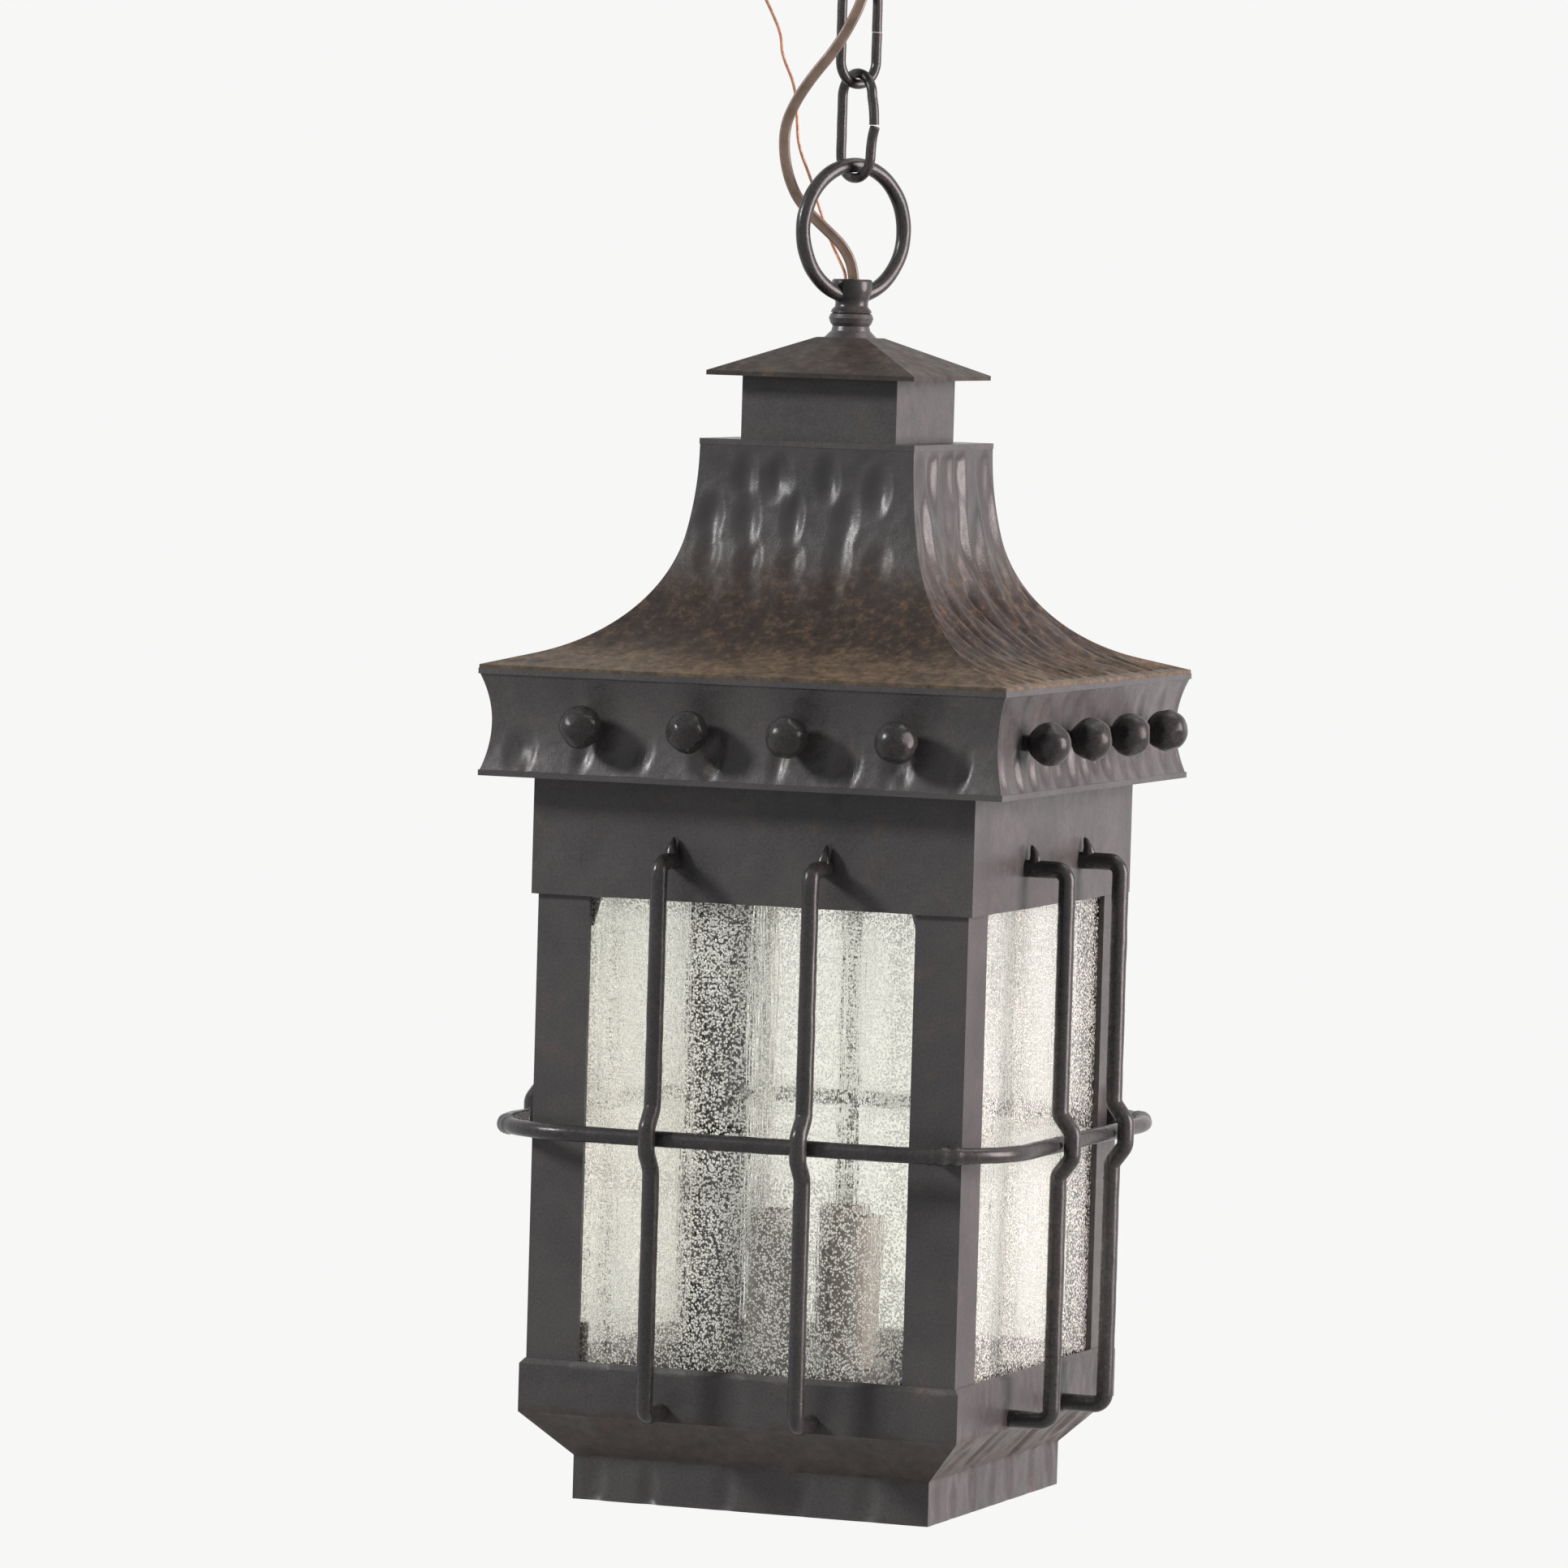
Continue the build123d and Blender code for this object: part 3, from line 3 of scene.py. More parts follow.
import bmesh
import bpy
import numpy as np
from mathutils import Matrix, Vector, noise
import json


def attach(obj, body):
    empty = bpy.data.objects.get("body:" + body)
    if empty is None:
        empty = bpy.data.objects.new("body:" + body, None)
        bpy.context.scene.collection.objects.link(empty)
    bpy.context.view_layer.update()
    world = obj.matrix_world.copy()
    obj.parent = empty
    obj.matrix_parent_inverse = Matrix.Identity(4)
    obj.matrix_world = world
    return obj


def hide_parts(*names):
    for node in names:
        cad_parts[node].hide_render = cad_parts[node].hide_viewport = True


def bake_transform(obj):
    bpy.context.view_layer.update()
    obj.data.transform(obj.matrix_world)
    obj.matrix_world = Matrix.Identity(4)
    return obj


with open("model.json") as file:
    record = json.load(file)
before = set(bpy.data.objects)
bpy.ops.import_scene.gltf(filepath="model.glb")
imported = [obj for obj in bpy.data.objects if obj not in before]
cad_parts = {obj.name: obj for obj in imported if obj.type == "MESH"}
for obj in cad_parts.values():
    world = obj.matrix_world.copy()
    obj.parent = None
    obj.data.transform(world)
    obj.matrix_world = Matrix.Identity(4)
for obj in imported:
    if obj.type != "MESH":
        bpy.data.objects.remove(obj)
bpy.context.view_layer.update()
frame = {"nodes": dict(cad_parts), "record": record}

MM = 0.001

# Blender seeds its vector noise from the clock unless it is given a seed
NOISE_SEED = 11

# Levels and half widths of the ironwork, in millimetres, as the frame has them
ROOF_TOP = -269.8
ROOF_EDGE = -366.2
BAND_TOP = -367.7
BAND_FOOT = -414.1
FASCIA_TOP = -398.1
FASCIA_FOOT = -465.0
TRAY_TOP = -666.5
HOOP_LEVEL = -566.0
CUP_TOP = -196.9
RING_CENTRE = -175.85
BAND_HALF = 120.65
BAND_WAIST_HALF = 115.8
FRONT_BALL_ROW = (-70.0, -20.7, 24.6, 74.2)
RIGHT_BALL_ROW = (-82.5, -29.0, 21.5, 70.5)
LEFT_BALL_ROW = (-80.0, -33.0, 12.0, 58.5)
BALL_ROWS = (RIGHT_BALL_ROW, FRONT_BALL_ROW, LEFT_BALL_ROW, FRONT_BALL_ROW)
FASCIA_HALF = 101.3
ANGLE_HALF = 98.9
TRAY_HALF = 101.2
RING_TURN = math.radians(60.8)

# Hammer marks seen on the front, set one by one: rows of run length, depth and places along the face
ROOF_FRONT_MARKS = (
    (14.0, 1.7, (-26.5, -14.0, -9.5, 11.5, 35.0)),
    (31.5, 1.65, (-41.5, -24.5, -3.5, 21.0)),
    (49.0, 1.55, (-41.0, -21.5, -2.0, 19.5, 38.0)),
    (67.5, 0.8, (-37.0, -18.5, 2.5, 19.5)),
)
BAND_FRONT_MARKS = (-103.0, -98.0, -71.5, -50.0, -44.5, -17.0, -12.0, 18.0, 47.0, 51.5, 70.0, 75.0, 101.0)
SKIRT_FRONT_MARKS = (-71.0, -46.0, -10.5, 24.0, 55.0)

# Route of the supply cord from the ring's cup to the canopy, in metres
CORD_LOWER = [
    (0.0009, 0.0004, -0.2050), (0.0009, 0.0004, -0.1940), (-0.0027, -0.0028, -0.1835),
    (-0.0091, -0.0084, -0.1760), (-0.0169, -0.0130, -0.1680), (-0.0230, -0.0154, -0.1590),
    (-0.0271, -0.0159, -0.1460),
]
CORD_MIDDLE = [
    (-0.0277, -0.0156, -0.1320), (-0.0226, -0.0163, -0.1205), (-0.0142, -0.0176, -0.1092),
    (-0.0044, -0.0178, -0.0980),
]
CORD_UPPER = [
    (0.0022, -0.0166, -0.0865), (0.0063, -0.0134, -0.0755), (0.0061, -0.0096, -0.0650),
    (0.0041, -0.0052, -0.0558), (0.0017, -0.0011, -0.0485), (0.0009, 0.0004, -0.0410),
    (0.0009, 0.0004, -0.0340),
]
GROUND_LOWER = [
    (-0.0024, -0.0009, -0.2050), (-0.0024, -0.0009, -0.1960), (-0.0050, -0.0006, -0.1905),
    (-0.0100, 0.0008, -0.1825), (-0.0136, 0.0003, -0.1735), (-0.0168, -0.0014, -0.1635),
    (-0.0195, -0.0033, -0.1535),
]
GROUND_MIDDLE = [
    (-0.0247, -0.0063, -0.1395), (-0.0252, -0.0070, -0.1275), (-0.0261, -0.0080, -0.1135),
]
GROUND_UPPER = [
    (-0.0317, -0.0112, -0.1000), (-0.0318, -0.0115, -0.0920), (-0.0351, -0.0132, -0.0835),
    (-0.0392, -0.0152, -0.0745), (-0.0432, -0.0173, -0.0645), (-0.0425, -0.0176, -0.0540),
    (-0.0350, -0.0149, -0.0465), (-0.0245, -0.0105, -0.0445), (-0.0148, -0.0063, -0.0470),
    (-0.0076, -0.0033, -0.0486), (-0.0032, -0.0013, -0.0462), (-0.0024, -0.0009, -0.0415),
    (-0.0024, -0.0009, -0.0370),
]
LAMP_LEAD = [
    (0.0009, 0.0004, -0.2050), (0.0009, 0.0004, -0.2864), (-0.0030, 0.0030, -0.2960),
    (-0.0130, 0.0170, -0.3220), (-0.0270, 0.0400, -0.3540), (-0.0440, 0.0640, -0.3840),
    (-0.0580, 0.0820, -0.4120), (-0.0640, 0.0892, -0.4340), (-0.0640, 0.0892, -0.4600),
    (-0.0640, 0.0892, -0.6600), (-0.0640, 0.0892, -0.6900), (-0.0590, 0.0820, -0.7010),
    (-0.0440, 0.0610, -0.7085), (-0.0240, 0.0330, -0.7100), (-0.0080, 0.0110, -0.7040),
    (0.0, 0.0, -0.6930), (0.0, 0.0, -0.6830),
]
GROUND_LEAD = [
    (-0.0024, -0.0009, -0.2050), (-0.0024, -0.0009, -0.2890), (-0.0055, -0.0021, -0.2965),
    (-0.0130, -0.0050, -0.3000), (-0.0200, -0.0078, -0.2955), (-0.0224, -0.0087, -0.2870),
    (-0.0224, -0.0087, -0.2728),
]
CORD_WIDTH = 0.0048
CORD_THICK = 0.0026
GROUND_WIRE = 0.0013


# Camera and light

def make_camera():
    lens = bpy.data.cameras.new("camera")
    lens.sensor_width = 36.0
    lens.lens = 217.396
    lens.clip_end = 50.0
    camera = bpy.data.objects.new("camera", lens)
    bpy.context.scene.collection.objects.link(camera)
    right = Vector((0.93140444, 0.36287416, 0.02842731))
    up = Vector((-0.04750946, 0.04376886, 0.99791139))
    back = Vector((0.36087203, -0.93080966, 0.05800646))
    turn = Matrix((right, up, back)).transposed().to_4x4()
    camera.matrix_world = Matrix.Translation((1.472255, -3.862373, -0.177951)) @ turn
    bpy.context.scene.camera = camera


def area_light(name, place, aim, width, height, power, colour=(1.0, 1.0, 1.0)):
    light = bpy.data.lights.new(name, "AREA")
    light.shape = "RECTANGLE"
    light.size = width
    light.size_y = height
    light.energy = power
    light.color = colour
    lamp = bpy.data.objects.new(name, light)
    bpy.context.scene.collection.objects.link(lamp)
    away = Vector(place) - Vector(aim)
    lamp.location = place
    lamp.rotation_mode = "QUATERNION"
    lamp.rotation_quaternion = away.to_track_quat("Z", "Y")
    lamp.visible_transmission = False


def make_world():
    world = bpy.data.worlds.new("studio")
    bpy.context.scene.world = world
    world.use_nodes = True
    tree = world.node_tree
    tree.nodes.clear()
    rays = tree.nodes.new("ShaderNodeLightPath")
    ambient = tree.nodes.new("ShaderNodeBackground")
    ambient.inputs["Color"].default_value = (0.96, 0.97, 1.0, 1.0)
    ambient.inputs["Strength"].default_value = 0.15
    shown = tree.nodes.new("ShaderNodeBackground")
    shown.inputs["Color"].default_value = (0.93, 0.93, 0.925, 1.0)
    shown.inputs["Strength"].default_value = 1.0
    seen = rays.outputs["Is Camera Ray"]
    for kind in ("Is Glossy Ray", "Is Transmission Ray"):
        either = tree.nodes.new("ShaderNodeMath")
        either.operation = "MAXIMUM"
        tree.links.new(seen, either.inputs[0])
        tree.links.new(rays.outputs[kind], either.inputs[1])
        seen = either.outputs[0]
    mix = tree.nodes.new("ShaderNodeMixShader")
    out = tree.nodes.new("ShaderNodeOutputWorld")
    tree.links.new(seen, mix.inputs[0])
    tree.links.new(ambient.outputs[0], mix.inputs[1])
    tree.links.new(shown.outputs[0], mix.inputs[2])
    tree.links.new(mix.outputs[0], out.inputs["Surface"])


# Node materials

class Nodes:
    """Short way to write a material's nodes, with object coordinates in metres."""

    def __init__(self, name):
        self.material = bpy.data.materials.new(name)
        self.material.use_nodes = True
        self.tree = self.material.node_tree
        self.shader = self.tree.nodes["Principled BSDF"]
        self.out = self.tree.nodes["Material Output"]
        self.place = self.tree.nodes.new("ShaderNodeTexCoord").outputs["Object"]

    def add(self, kind, **settings):
        node = self.tree.nodes.new(kind)
        for key, value in settings.items():
            setattr(node, key, value)
        return node

    def join(self, source, target):
        self.tree.links.new(source, target)

    def stretch(self, scale):
        node = self.add("ShaderNodeMapping")
        node.inputs["Scale"].default_value = scale
        self.join(self.place, node.inputs["Vector"])
        return node.outputs["Vector"]

    def noise(self, scale, detail=4.0, roughness=0.55, vector=None):
        node = self.add("ShaderNodeTexNoise")
        node.inputs["Scale"].default_value = scale
        node.inputs["Detail"].default_value = detail
        node.inputs["Roughness"].default_value = roughness
        self.join(vector or self.place, node.inputs["Vector"])
        return node.outputs["Fac"]

    def cells(self, scale, vector=None, feature="F1"):
        node = self.add("ShaderNodeTexVoronoi", feature=feature)
        node.inputs["Scale"].default_value = scale
        self.join(vector or self.place, node.inputs["Vector"])
        return node.outputs["Distance"]

    def ramp(self, source, *stops):
        node = self.add("ShaderNodeValToRGB")
        elements = node.color_ramp.elements
        while len(elements) < len(stops):
            elements.new(0.5)
        for element, (position, colour) in zip(elements, stops):
            element.position = position
            element.color = (*colour, 1.0) if len(colour) == 3 else colour
        self.join(source, node.inputs["Fac"])
        return node.outputs["Color"]

    def fade(self, source, low, high, to_low=0.0, to_high=1.0):
        node = self.add("ShaderNodeMapRange", interpolation_type="SMOOTHSTEP")
        for key, value in (("From Min", low), ("From Max", high), ("To Min", to_low), ("To Max", to_high)):
            node.inputs[key].default_value = value
        self.join(source, node.inputs["Value"])
        return node.outputs["Result"]

    def mix(self, share, first, second, blend="MIX"):
        node = self.add("ShaderNodeMix", data_type="RGBA", blend_type=blend)
        for value, socket in ((share, node.inputs[0]), (first, node.inputs[6]), (second, node.inputs[7])):
            if isinstance(value, (int, float)):
                socket.default_value = value
            elif isinstance(value, tuple):
                socket.default_value = (*value, 1.0)
            else:
                self.join(value, socket)
        return node.outputs[2]

    def maths(self, operation, first, second):
        node = self.add("ShaderNodeMath", operation=operation)
        for value, socket in ((first, node.inputs[0]), (second, node.inputs[1])):
            if isinstance(value, (int, float)):
                socket.default_value = value
            else:
                self.join(value, socket)
        return node.outputs[0]

    def height(self):
        node = self.add("ShaderNodeSeparateXYZ")
        self.join(self.place, node.inputs[0])
        return node.outputs["Z"]

    def bump(self, source, distance, strength=1.0, below=None):
        node = self.add("ShaderNodeBump")
        node.inputs["Strength"].default_value = strength
        node.inputs["Distance"].default_value = distance
        self.join(source, node.inputs["Height"])
        if below is not None:
            self.join(below, node.inputs["Normal"])
        return node.outputs["Normal"]

    def colour(self, source):
        self.join(source, self.shader.inputs["Base Color"])

    def roughness(self, source):
        self.join(source, self.shader.inputs["Roughness"])

    def normal(self, source):
        self.join(source, self.shader.inputs["Normal"])

    def set(self, **values):
        for key, value in values.items():
            self.shader.inputs[key.replace("_", " ")].default_value = value


def forged_surface(g, dark, light, rust_share, rough_low, rough_high, scale_depth=0.00022):
    """Blackened forged iron: broad tone changes, brown bloom, scale and fine pits."""
    broad = g.noise(22.0, 5.0, 0.6)
    tone = g.ramp(broad, (0.32, dark), (0.68, light))
    bloom = g.fade(g.noise(75.0, 6.0, 0.7), 0.56, 0.74)
    tone = g.mix(g.maths("MULTIPLY", bloom, rust_share), tone, (0.13, 0.088, 0.066))
    fine = g.noise(900.0, 3.0, 0.6)
    tone = g.mix(0.22, tone, g.ramp(fine, (0.3, (0.018, 0.017, 0.017)), (0.75, (0.15, 0.138, 0.138))))
    g.colour(tone)
    g.roughness(g.fade(g.noise(140.0, 5.0, 0.7), 0.3, 0.75, rough_low, rough_high))
    scale = g.bump(g.noise(260.0, 5.0, 0.65), scale_depth, 0.55)
    g.normal(g.bump(g.noise(1500.0, 3.0, 0.6), 0.00008, 0.5, scale))


def iron_material():
    g = Nodes("blackened_iron")
    forged_surface(g, (0.034, 0.0325, 0.0335), (0.068, 0.062, 0.0625), 0.45, 0.28, 0.46)
    g.set(Specular_IOR_Level=0.32)
    return g.material


def base_material():
    """The base's iron, browner on the slope between its rail and skirt."""
    g = Nodes("base_iron")
    forged_surface(g, (0.034, 0.0325, 0.0335), (0.066, 0.06, 0.0605), 0.5, 0.3, 0.48, 0.0003)
    tone = g.shader.inputs["Base Color"].links[0].from_socket
    level = g.maths("ADD", g.height(), g.maths("MULTIPLY", g.noise(45.0, 5.0, 0.7), 0.012))
    slope = g.maths("MULTIPLY", g.fade(level, -0.680, -0.686), g.fade(level, -0.706, -0.701))
    brown = g.ramp(g.noise(170.0, 6.0, 0.75), (0.35, (0.016, 0.0115, 0.009)), (0.65, (0.062, 0.042, 0.03)))
    g.colour(g.mix(g.maths("MULTIPLY", slope, 0.75), tone, brown))
    g.set(Specular_IOR_Level=0.28)
    return g.material


def rod_material():
    g = Nodes("forged_bar")
    forged_surface(g, (0.012, 0.0115, 0.012), (0.03, 0.0275, 0.028), 0.3, 0.2, 0.34)
    g.set(Specular_IOR_Level=0.26)
    return g.material


def ball_material():
    g = Nodes("forged_ball")
    forged_surface(g, (0.008, 0.0077, 0.008), (0.022, 0.02, 0.02), 0.25, 0.22, 0.34, 0.00012)
    g.set(Specular_IOR_Level=0.17)
    return g.material


def roof_material():
    """Iron sheet with brown bloom and a tan patina where the roof flattens out."""
    g = Nodes("roof_patina")
    broad = g.noise(26.0, 5.0, 0.6)
    tone = g.ramp(broad, (0.32, (0.036, 0.0345, 0.0355)), (0.7, (0.068, 0.0625, 0.063)))
    level = g.maths("ADD", g.height(), g.maths("MULTIPLY", g.noise(38.0, 5.0, 0.7), 0.03))
    brown = g.fade(level, -0.285, -0.322)
    tan = g.fade(level, -0.335, -0.353)
    mottle = g.noise(190.0, 6.0, 0.75)
    rust = g.ramp(mottle, (0.34, (0.012, 0.009, 0.008)), (0.52, (0.036, 0.024, 0.018)), (0.74, (0.15, 0.095, 0.056)))
    pale = g.ramp(mottle, (0.3, (0.045, 0.033, 0.024)), (0.6, (0.17, 0.125, 0.082)))
    tone = g.mix(g.maths("MULTIPLY", brown, 0.8), tone, rust)
    tone = g.mix(g.maths("MULTIPLY", tan, 0.7), tone, pale)
    g.colour(tone)
    worn = g.fade(level, -0.29, -0.33, 0.0, 0.16)
    g.roughness(g.maths("ADD", worn, g.fade(g.noise(150.0, 5.0, 0.7), 0.3, 0.75, 0.28, 0.44)))
    g.join(g.maths("SUBTRACT", 0.3, worn), g.shader.inputs["Specular IOR Level"])
    scale = g.bump(g.noise(280.0, 5.0, 0.7), 0.00028, 0.6)
    g.normal(g.bump(g.noise(1300.0, 3.0, 0.6), 0.0001, 0.6, scale))
    return g.material


def cap_material():
    """The cap's weathered brown sheet."""
    g = Nodes("cap_patina")
    mottle = g.noise(120.0, 6.0, 0.72)
    tone = g.ramp(mottle, (0.3, (0.014, 0.011, 0.0095)), (0.55, (0.04, 0.03, 0.024)), (0.8, (0.14, 0.1, 0.07)))
    broad = g.noise(30.0, 4.0, 0.6)
    tone = g.mix(g.fade(broad, 0.4, 0.65, 0.1, 0.5), tone, (0.05, 0.044, 0.042))
    g.colour(tone)
    g.roughness(g.fade(g.noise(150.0, 5.0, 0.7), 0.3, 0.75, 0.45, 0.68))
    scale = g.bump(g.noise(240.0, 5.0, 0.7), 0.0005, 0.6)
    g.normal(g.bump(g.noise(1300.0, 3.0, 0.6), 0.00015, 0.6, scale))
    g.set(Specular_IOR_Level=0.2)
    return g.material


def glass_material():
    """Seeded glass: clear, drawn upright, full of small pale seeds, and open to the lamps' light."""
    g = Nodes("seeded_glass")
    waves = g.noise(26.0, 3.0, 0.6, g.stretch((1.0, 1.0, 0.1)))
    drawn = g.noise(220.0, 3.0, 0.6, g.stretch((1.0, 1.0, 0.06)))
    cell = g.add("ShaderNodeTexVoronoi")
    cell.inputs["Scale"].default_value = 1000.0
    g.join(g.stretch((1.0, 1.0, 0.8)), cell.inputs["Vector"])
    pick = g.add("ShaderNodeSeparateColor")
    g.join(cell.outputs["Color"], pick.inputs[0])
    density = g.fade(g.noise(70.0, 4.0, 0.65, g.stretch((1.0, 1.0, 0.3))), 0.35, 0.65, 0.45, 0.9)
    kept = g.maths("LESS_THAN", pick.outputs[0], density)
    seed = g.maths("MULTIPLY", g.fade(cell.outputs["Distance"], 0.5, 0.3), kept)
    normal = g.bump(waves, 0.0016, 0.35)
    normal = g.bump(drawn, 0.0005, 0.35, normal)
    g.normal(g.bump(seed, 0.0003, 0.45, normal))
    upright = g.noise(40.0, 4.0, 0.6, g.stretch((1.0, 1.0, 0.08)))
    g.colour(g.ramp(upright, (0.3, (0.94, 0.944, 0.885)), (0.7, (1.0, 0.997, 0.965))))
    g.roughness(g.maths("ADD", 0.03, g.maths("MULTIPLY", seed, 0.35)))
    g.join(g.maths("SUBTRACT", 1.0, g.maths("MULTIPLY", seed, 0.38)), g.shader.inputs["Transmission Weight"])
    g.set(IOR=1.4)
    rays = g.add("ShaderNodeLightPath")
    open_glass = g.add("ShaderNodeBsdfTransparent")
    open_glass.inputs["Color"].default_value = (0.86, 0.86, 0.83, 1.0)
    mix = g.add("ShaderNodeMixShader")
    g.join(rays.outputs["Is Shadow Ray"], mix.inputs[0])
    g.join(g.shader.outputs[0], mix.inputs[1])
    g.join(open_glass.outputs[0], mix.inputs[2])
    g.join(mix.outputs[0], g.out.inputs["Surface"])
    return g.material


def cord_material():
    g = Nodes("lead_jacket")
    tone = g.ramp(g.noise(110.0, 4.0, 0.6), (0.3, (0.1, 0.066, 0.048)), (0.7, (0.19, 0.135, 0.1)))
    g.colour(tone)
    g.roughness(g.fade(g.noise(300.0, 3.0), 0.3, 0.7, 0.38, 0.55))
    g.normal(g.bump(g.noise(900.0, 3.0), 0.0001, 0.5))
    g.set(Specular_IOR_Level=0.5)
    return g.material


def copper_material():
    g = Nodes("bare_copper")
    tone = g.ramp(g.noise(260.0, 5.0, 0.65), (0.3, (0.23, 0.1, 0.065)), (0.7, (0.5, 0.27, 0.18)))
    g.colour(tone)
    g.roughness(g.fade(g.noise(500.0, 3.0), 0.3, 0.7, 0.35, 0.55))
    g.normal(g.bump(g.noise(2200.0, 2.0), 0.00005, 0.5))
    g.set(Metallic=0.75)
    return g.material


def zinc_material(threaded=False):
    g = Nodes("zinc_thread" if threaded else "zinc_plate")
    tone = g.ramp(g.noise(160.0, 5.0, 0.7), (0.3, (0.4, 0.4, 0.39)), (0.7, (0.62, 0.62, 0.6)))
    g.colour(tone)
    g.roughness(g.fade(g.noise(420.0, 4.0, 0.6), 0.3, 0.7, 0.28, 0.5))
    grain = g.bump(g.noise(900.0, 2.0, 0.5, g.stretch((1.0, 0.08, 1.0))), 0.00008, 0.5)
    if threaded:
        wave = g.add("ShaderNodeTexWave", bands_direction="Z")
        wave.inputs["Scale"].default_value = 340.0
        g.join(g.place, wave.inputs["Vector"])
        grain = g.bump(wave.outputs["Fac"], 0.0004, 0.9, grain)
    g.normal(grain)
    g.set(Metallic=0.9)
    return g.material


def candle_material():
    """Card candle cover, its cream darkened to grey-brown as painted shade of the lantern's inside, with drips of wax
    moulded in.
    """
    g = Nodes("candle_cover")
    # painted shade: the cover's base colour is a dark grey-brown for the shade inside the lantern, not its own cream
    tone = g.ramp(g.noise(60.0, 4.0, 0.6, g.stretch((1.0, 1.0, 0.25))), (0.3, (0.1, 0.09, 0.082)), (0.7, (0.17, 0.155, 0.14)))
    g.colour(tone)
    g.roughness(g.fade(g.noise(240.0, 3.0), 0.3, 0.7, 0.45, 0.62))
    g.normal(g.bump(g.noise(130.0, 4.0, 0.6, g.stretch((1.0, 1.0, 0.2))), 0.0006, 0.5))
    return g.material


def socket_material():
    g = Nodes("socket_shell")
    tone = g.ramp(g.noise(200.0, 4.0, 0.6), (0.3, (0.03, 0.027, 0.025)), (0.7, (0.055, 0.05, 0.046)))
    g.colour(tone)
    g.roughness(g.fade(g.noise(300.0, 3.0), 0.3, 0.7, 0.35, 0.5))
    g.normal(g.bump(g.noise(1200.0, 2.0), 0.00005, 0.5))
    return g.material


def green_screw_material():
    g = Nodes("ground_screw_green")
    tone = g.ramp(g.noise(300.0, 4.0, 0.6), (0.3, (0.02, 0.13, 0.045)), (0.7, (0.04, 0.22, 0.08)))
    g.colour(tone)
    g.roughness(g.fade(g.noise(300.0, 3.0), 0.3, 0.7, 0.3, 0.45))
    g.normal(g.bump(g.noise(1200.0, 2.0), 0.00005, 0.5))
    g.set(Metallic=0.5)
    return g.material


def floor_material():
    g = Nodes("floor")
    g.colour(g.ramp(g.noise(3.0), (0.3, (0.86, 0.86, 0.855)), (0.7, (0.88, 0.88, 0.875))))
    g.set(Roughness=0.9)
    rays = g.add("ShaderNodeLightPath")
    glow = g.add("ShaderNodeEmission")
    glow.inputs["Color"].default_value = (0.93, 0.93, 0.925, 1.0)
    seen = g.maths("MAXIMUM", rays.outputs["Is Camera Ray"], rays.outputs["Is Glossy Ray"])
    seen = g.maths("MAXIMUM", seen, rays.outputs["Is Transmission Ray"])
    mix = g.add("ShaderNodeMixShader")
    g.join(g.maths("MULTIPLY", seen, 0.9), mix.inputs[0])
    g.join(g.shader.outputs[0], mix.inputs[1])
    g.join(glow.outputs[0], mix.inputs[2])
    g.join(mix.outputs[0], g.out.inputs["Surface"])
    return g.material


# Mesh forms, drawn in millimetres

def link_object(name, mesh, material):
    piece = bpy.data.objects.new(name, mesh)
    bpy.context.scene.collection.objects.link(piece)
    mesh.materials.append(material)
    return piece


def mesh_from(name, points, faces, material, sharp=math.radians(38)):
    """Object from points in metres and faces, smooth except over sharp edges."""
    mesh = bpy.data.meshes.new(name)
    mesh.from_pydata([tuple(p) for p in points], [], [tuple(f) for f in faces])
    work = bmesh.new()
    work.from_mesh(mesh)
    bmesh.ops.remove_doubles(work, verts=work.verts, dist=2e-6)
    bmesh.ops.recalc_face_normals(work, faces=work.faces)
    for face in work.faces:
        face.smooth = True
    for edge in work.edges:
        if len(edge.link_faces) == 2:
            edge.smooth = edge.calc_face_angle(0.0) < sharp
    work.to_mesh(mesh)
    work.free()
    return link_object(name, mesh, material)


def tube_mesh(path, section, frames=None, closed=False, taper=None):
    """Points and faces of a section swept on a path; taper scales it at each point."""
    path = np.asarray(path, float)
    count = len(path)
    across, upward = frames if frames is not None else sweep_frames(path, closed)
    section = np.asarray(section, float)
    scale = np.ones(count) if taper is None else np.asarray(taper, float)
    rings = (
        path[:, None, :]
        + scale[:, None, None] * (
            section[None, :, 0:1] * across[:, None, :] + section[None, :, 1:2] * upward[:, None, :]
        )
    )
    size = len(section)
    faces = []
    last = count if closed else count - 1
    for i in range(last):
        a, b = i * size, ((i + 1) % count) * size
        for k in range(size):
            n = (k + 1) % size
            faces.append((a + k, a + n, b + n, b + k))
    if not closed:
        faces.append(tuple(reversed(range(size))))
        faces.append(tuple((count - 1) * size + k for k in range(size)))
    return rings.reshape(-1, 3), faces


def sweep_frames(path, closed=False, start=(0.0, 0.0, 1.0)):
    """Two directions across a path that turn with it and never twist."""
    path = np.asarray(path, float)
    if closed:
        along = np.roll(path, -1, axis=0) - np.roll(path, 1, axis=0)
    else:
        along = np.gradient(path, axis=0)
    along /= np.linalg.norm(along, axis=1)[:, None]
    first = np.asarray(start, float)
    first = first - along[0] * first.dot(along[0])
    if np.linalg.norm(first) < 0.1:
        first = np.array((0.0, 1.0, 0.0)) - along[0] * along[0][1]
    first /= np.linalg.norm(first)
    across = [first]
    for direction in along[1:]:
        kept = across[-1] - direction * across[-1].dot(direction)
        across.append(kept / np.linalg.norm(kept))
    across = np.array(across)
    return across, np.cross(along, across)


def circle(radius, count=20):
    return [(radius * math.cos(t), radius * math.sin(t)) for t in np.linspace(0, 2 * math.pi, count, endpoint=False)]


def roughened(points, size, depth, offset=0.0):
    """Moves points a little by smooth noise, as forging leaves round bar."""
    moved = []
    for p in points:
        at = Vector(p) / size + Vector((offset, offset, offset))
        moved.append(Vector(p) + depth * noise.noise_vector(at))
    return moved


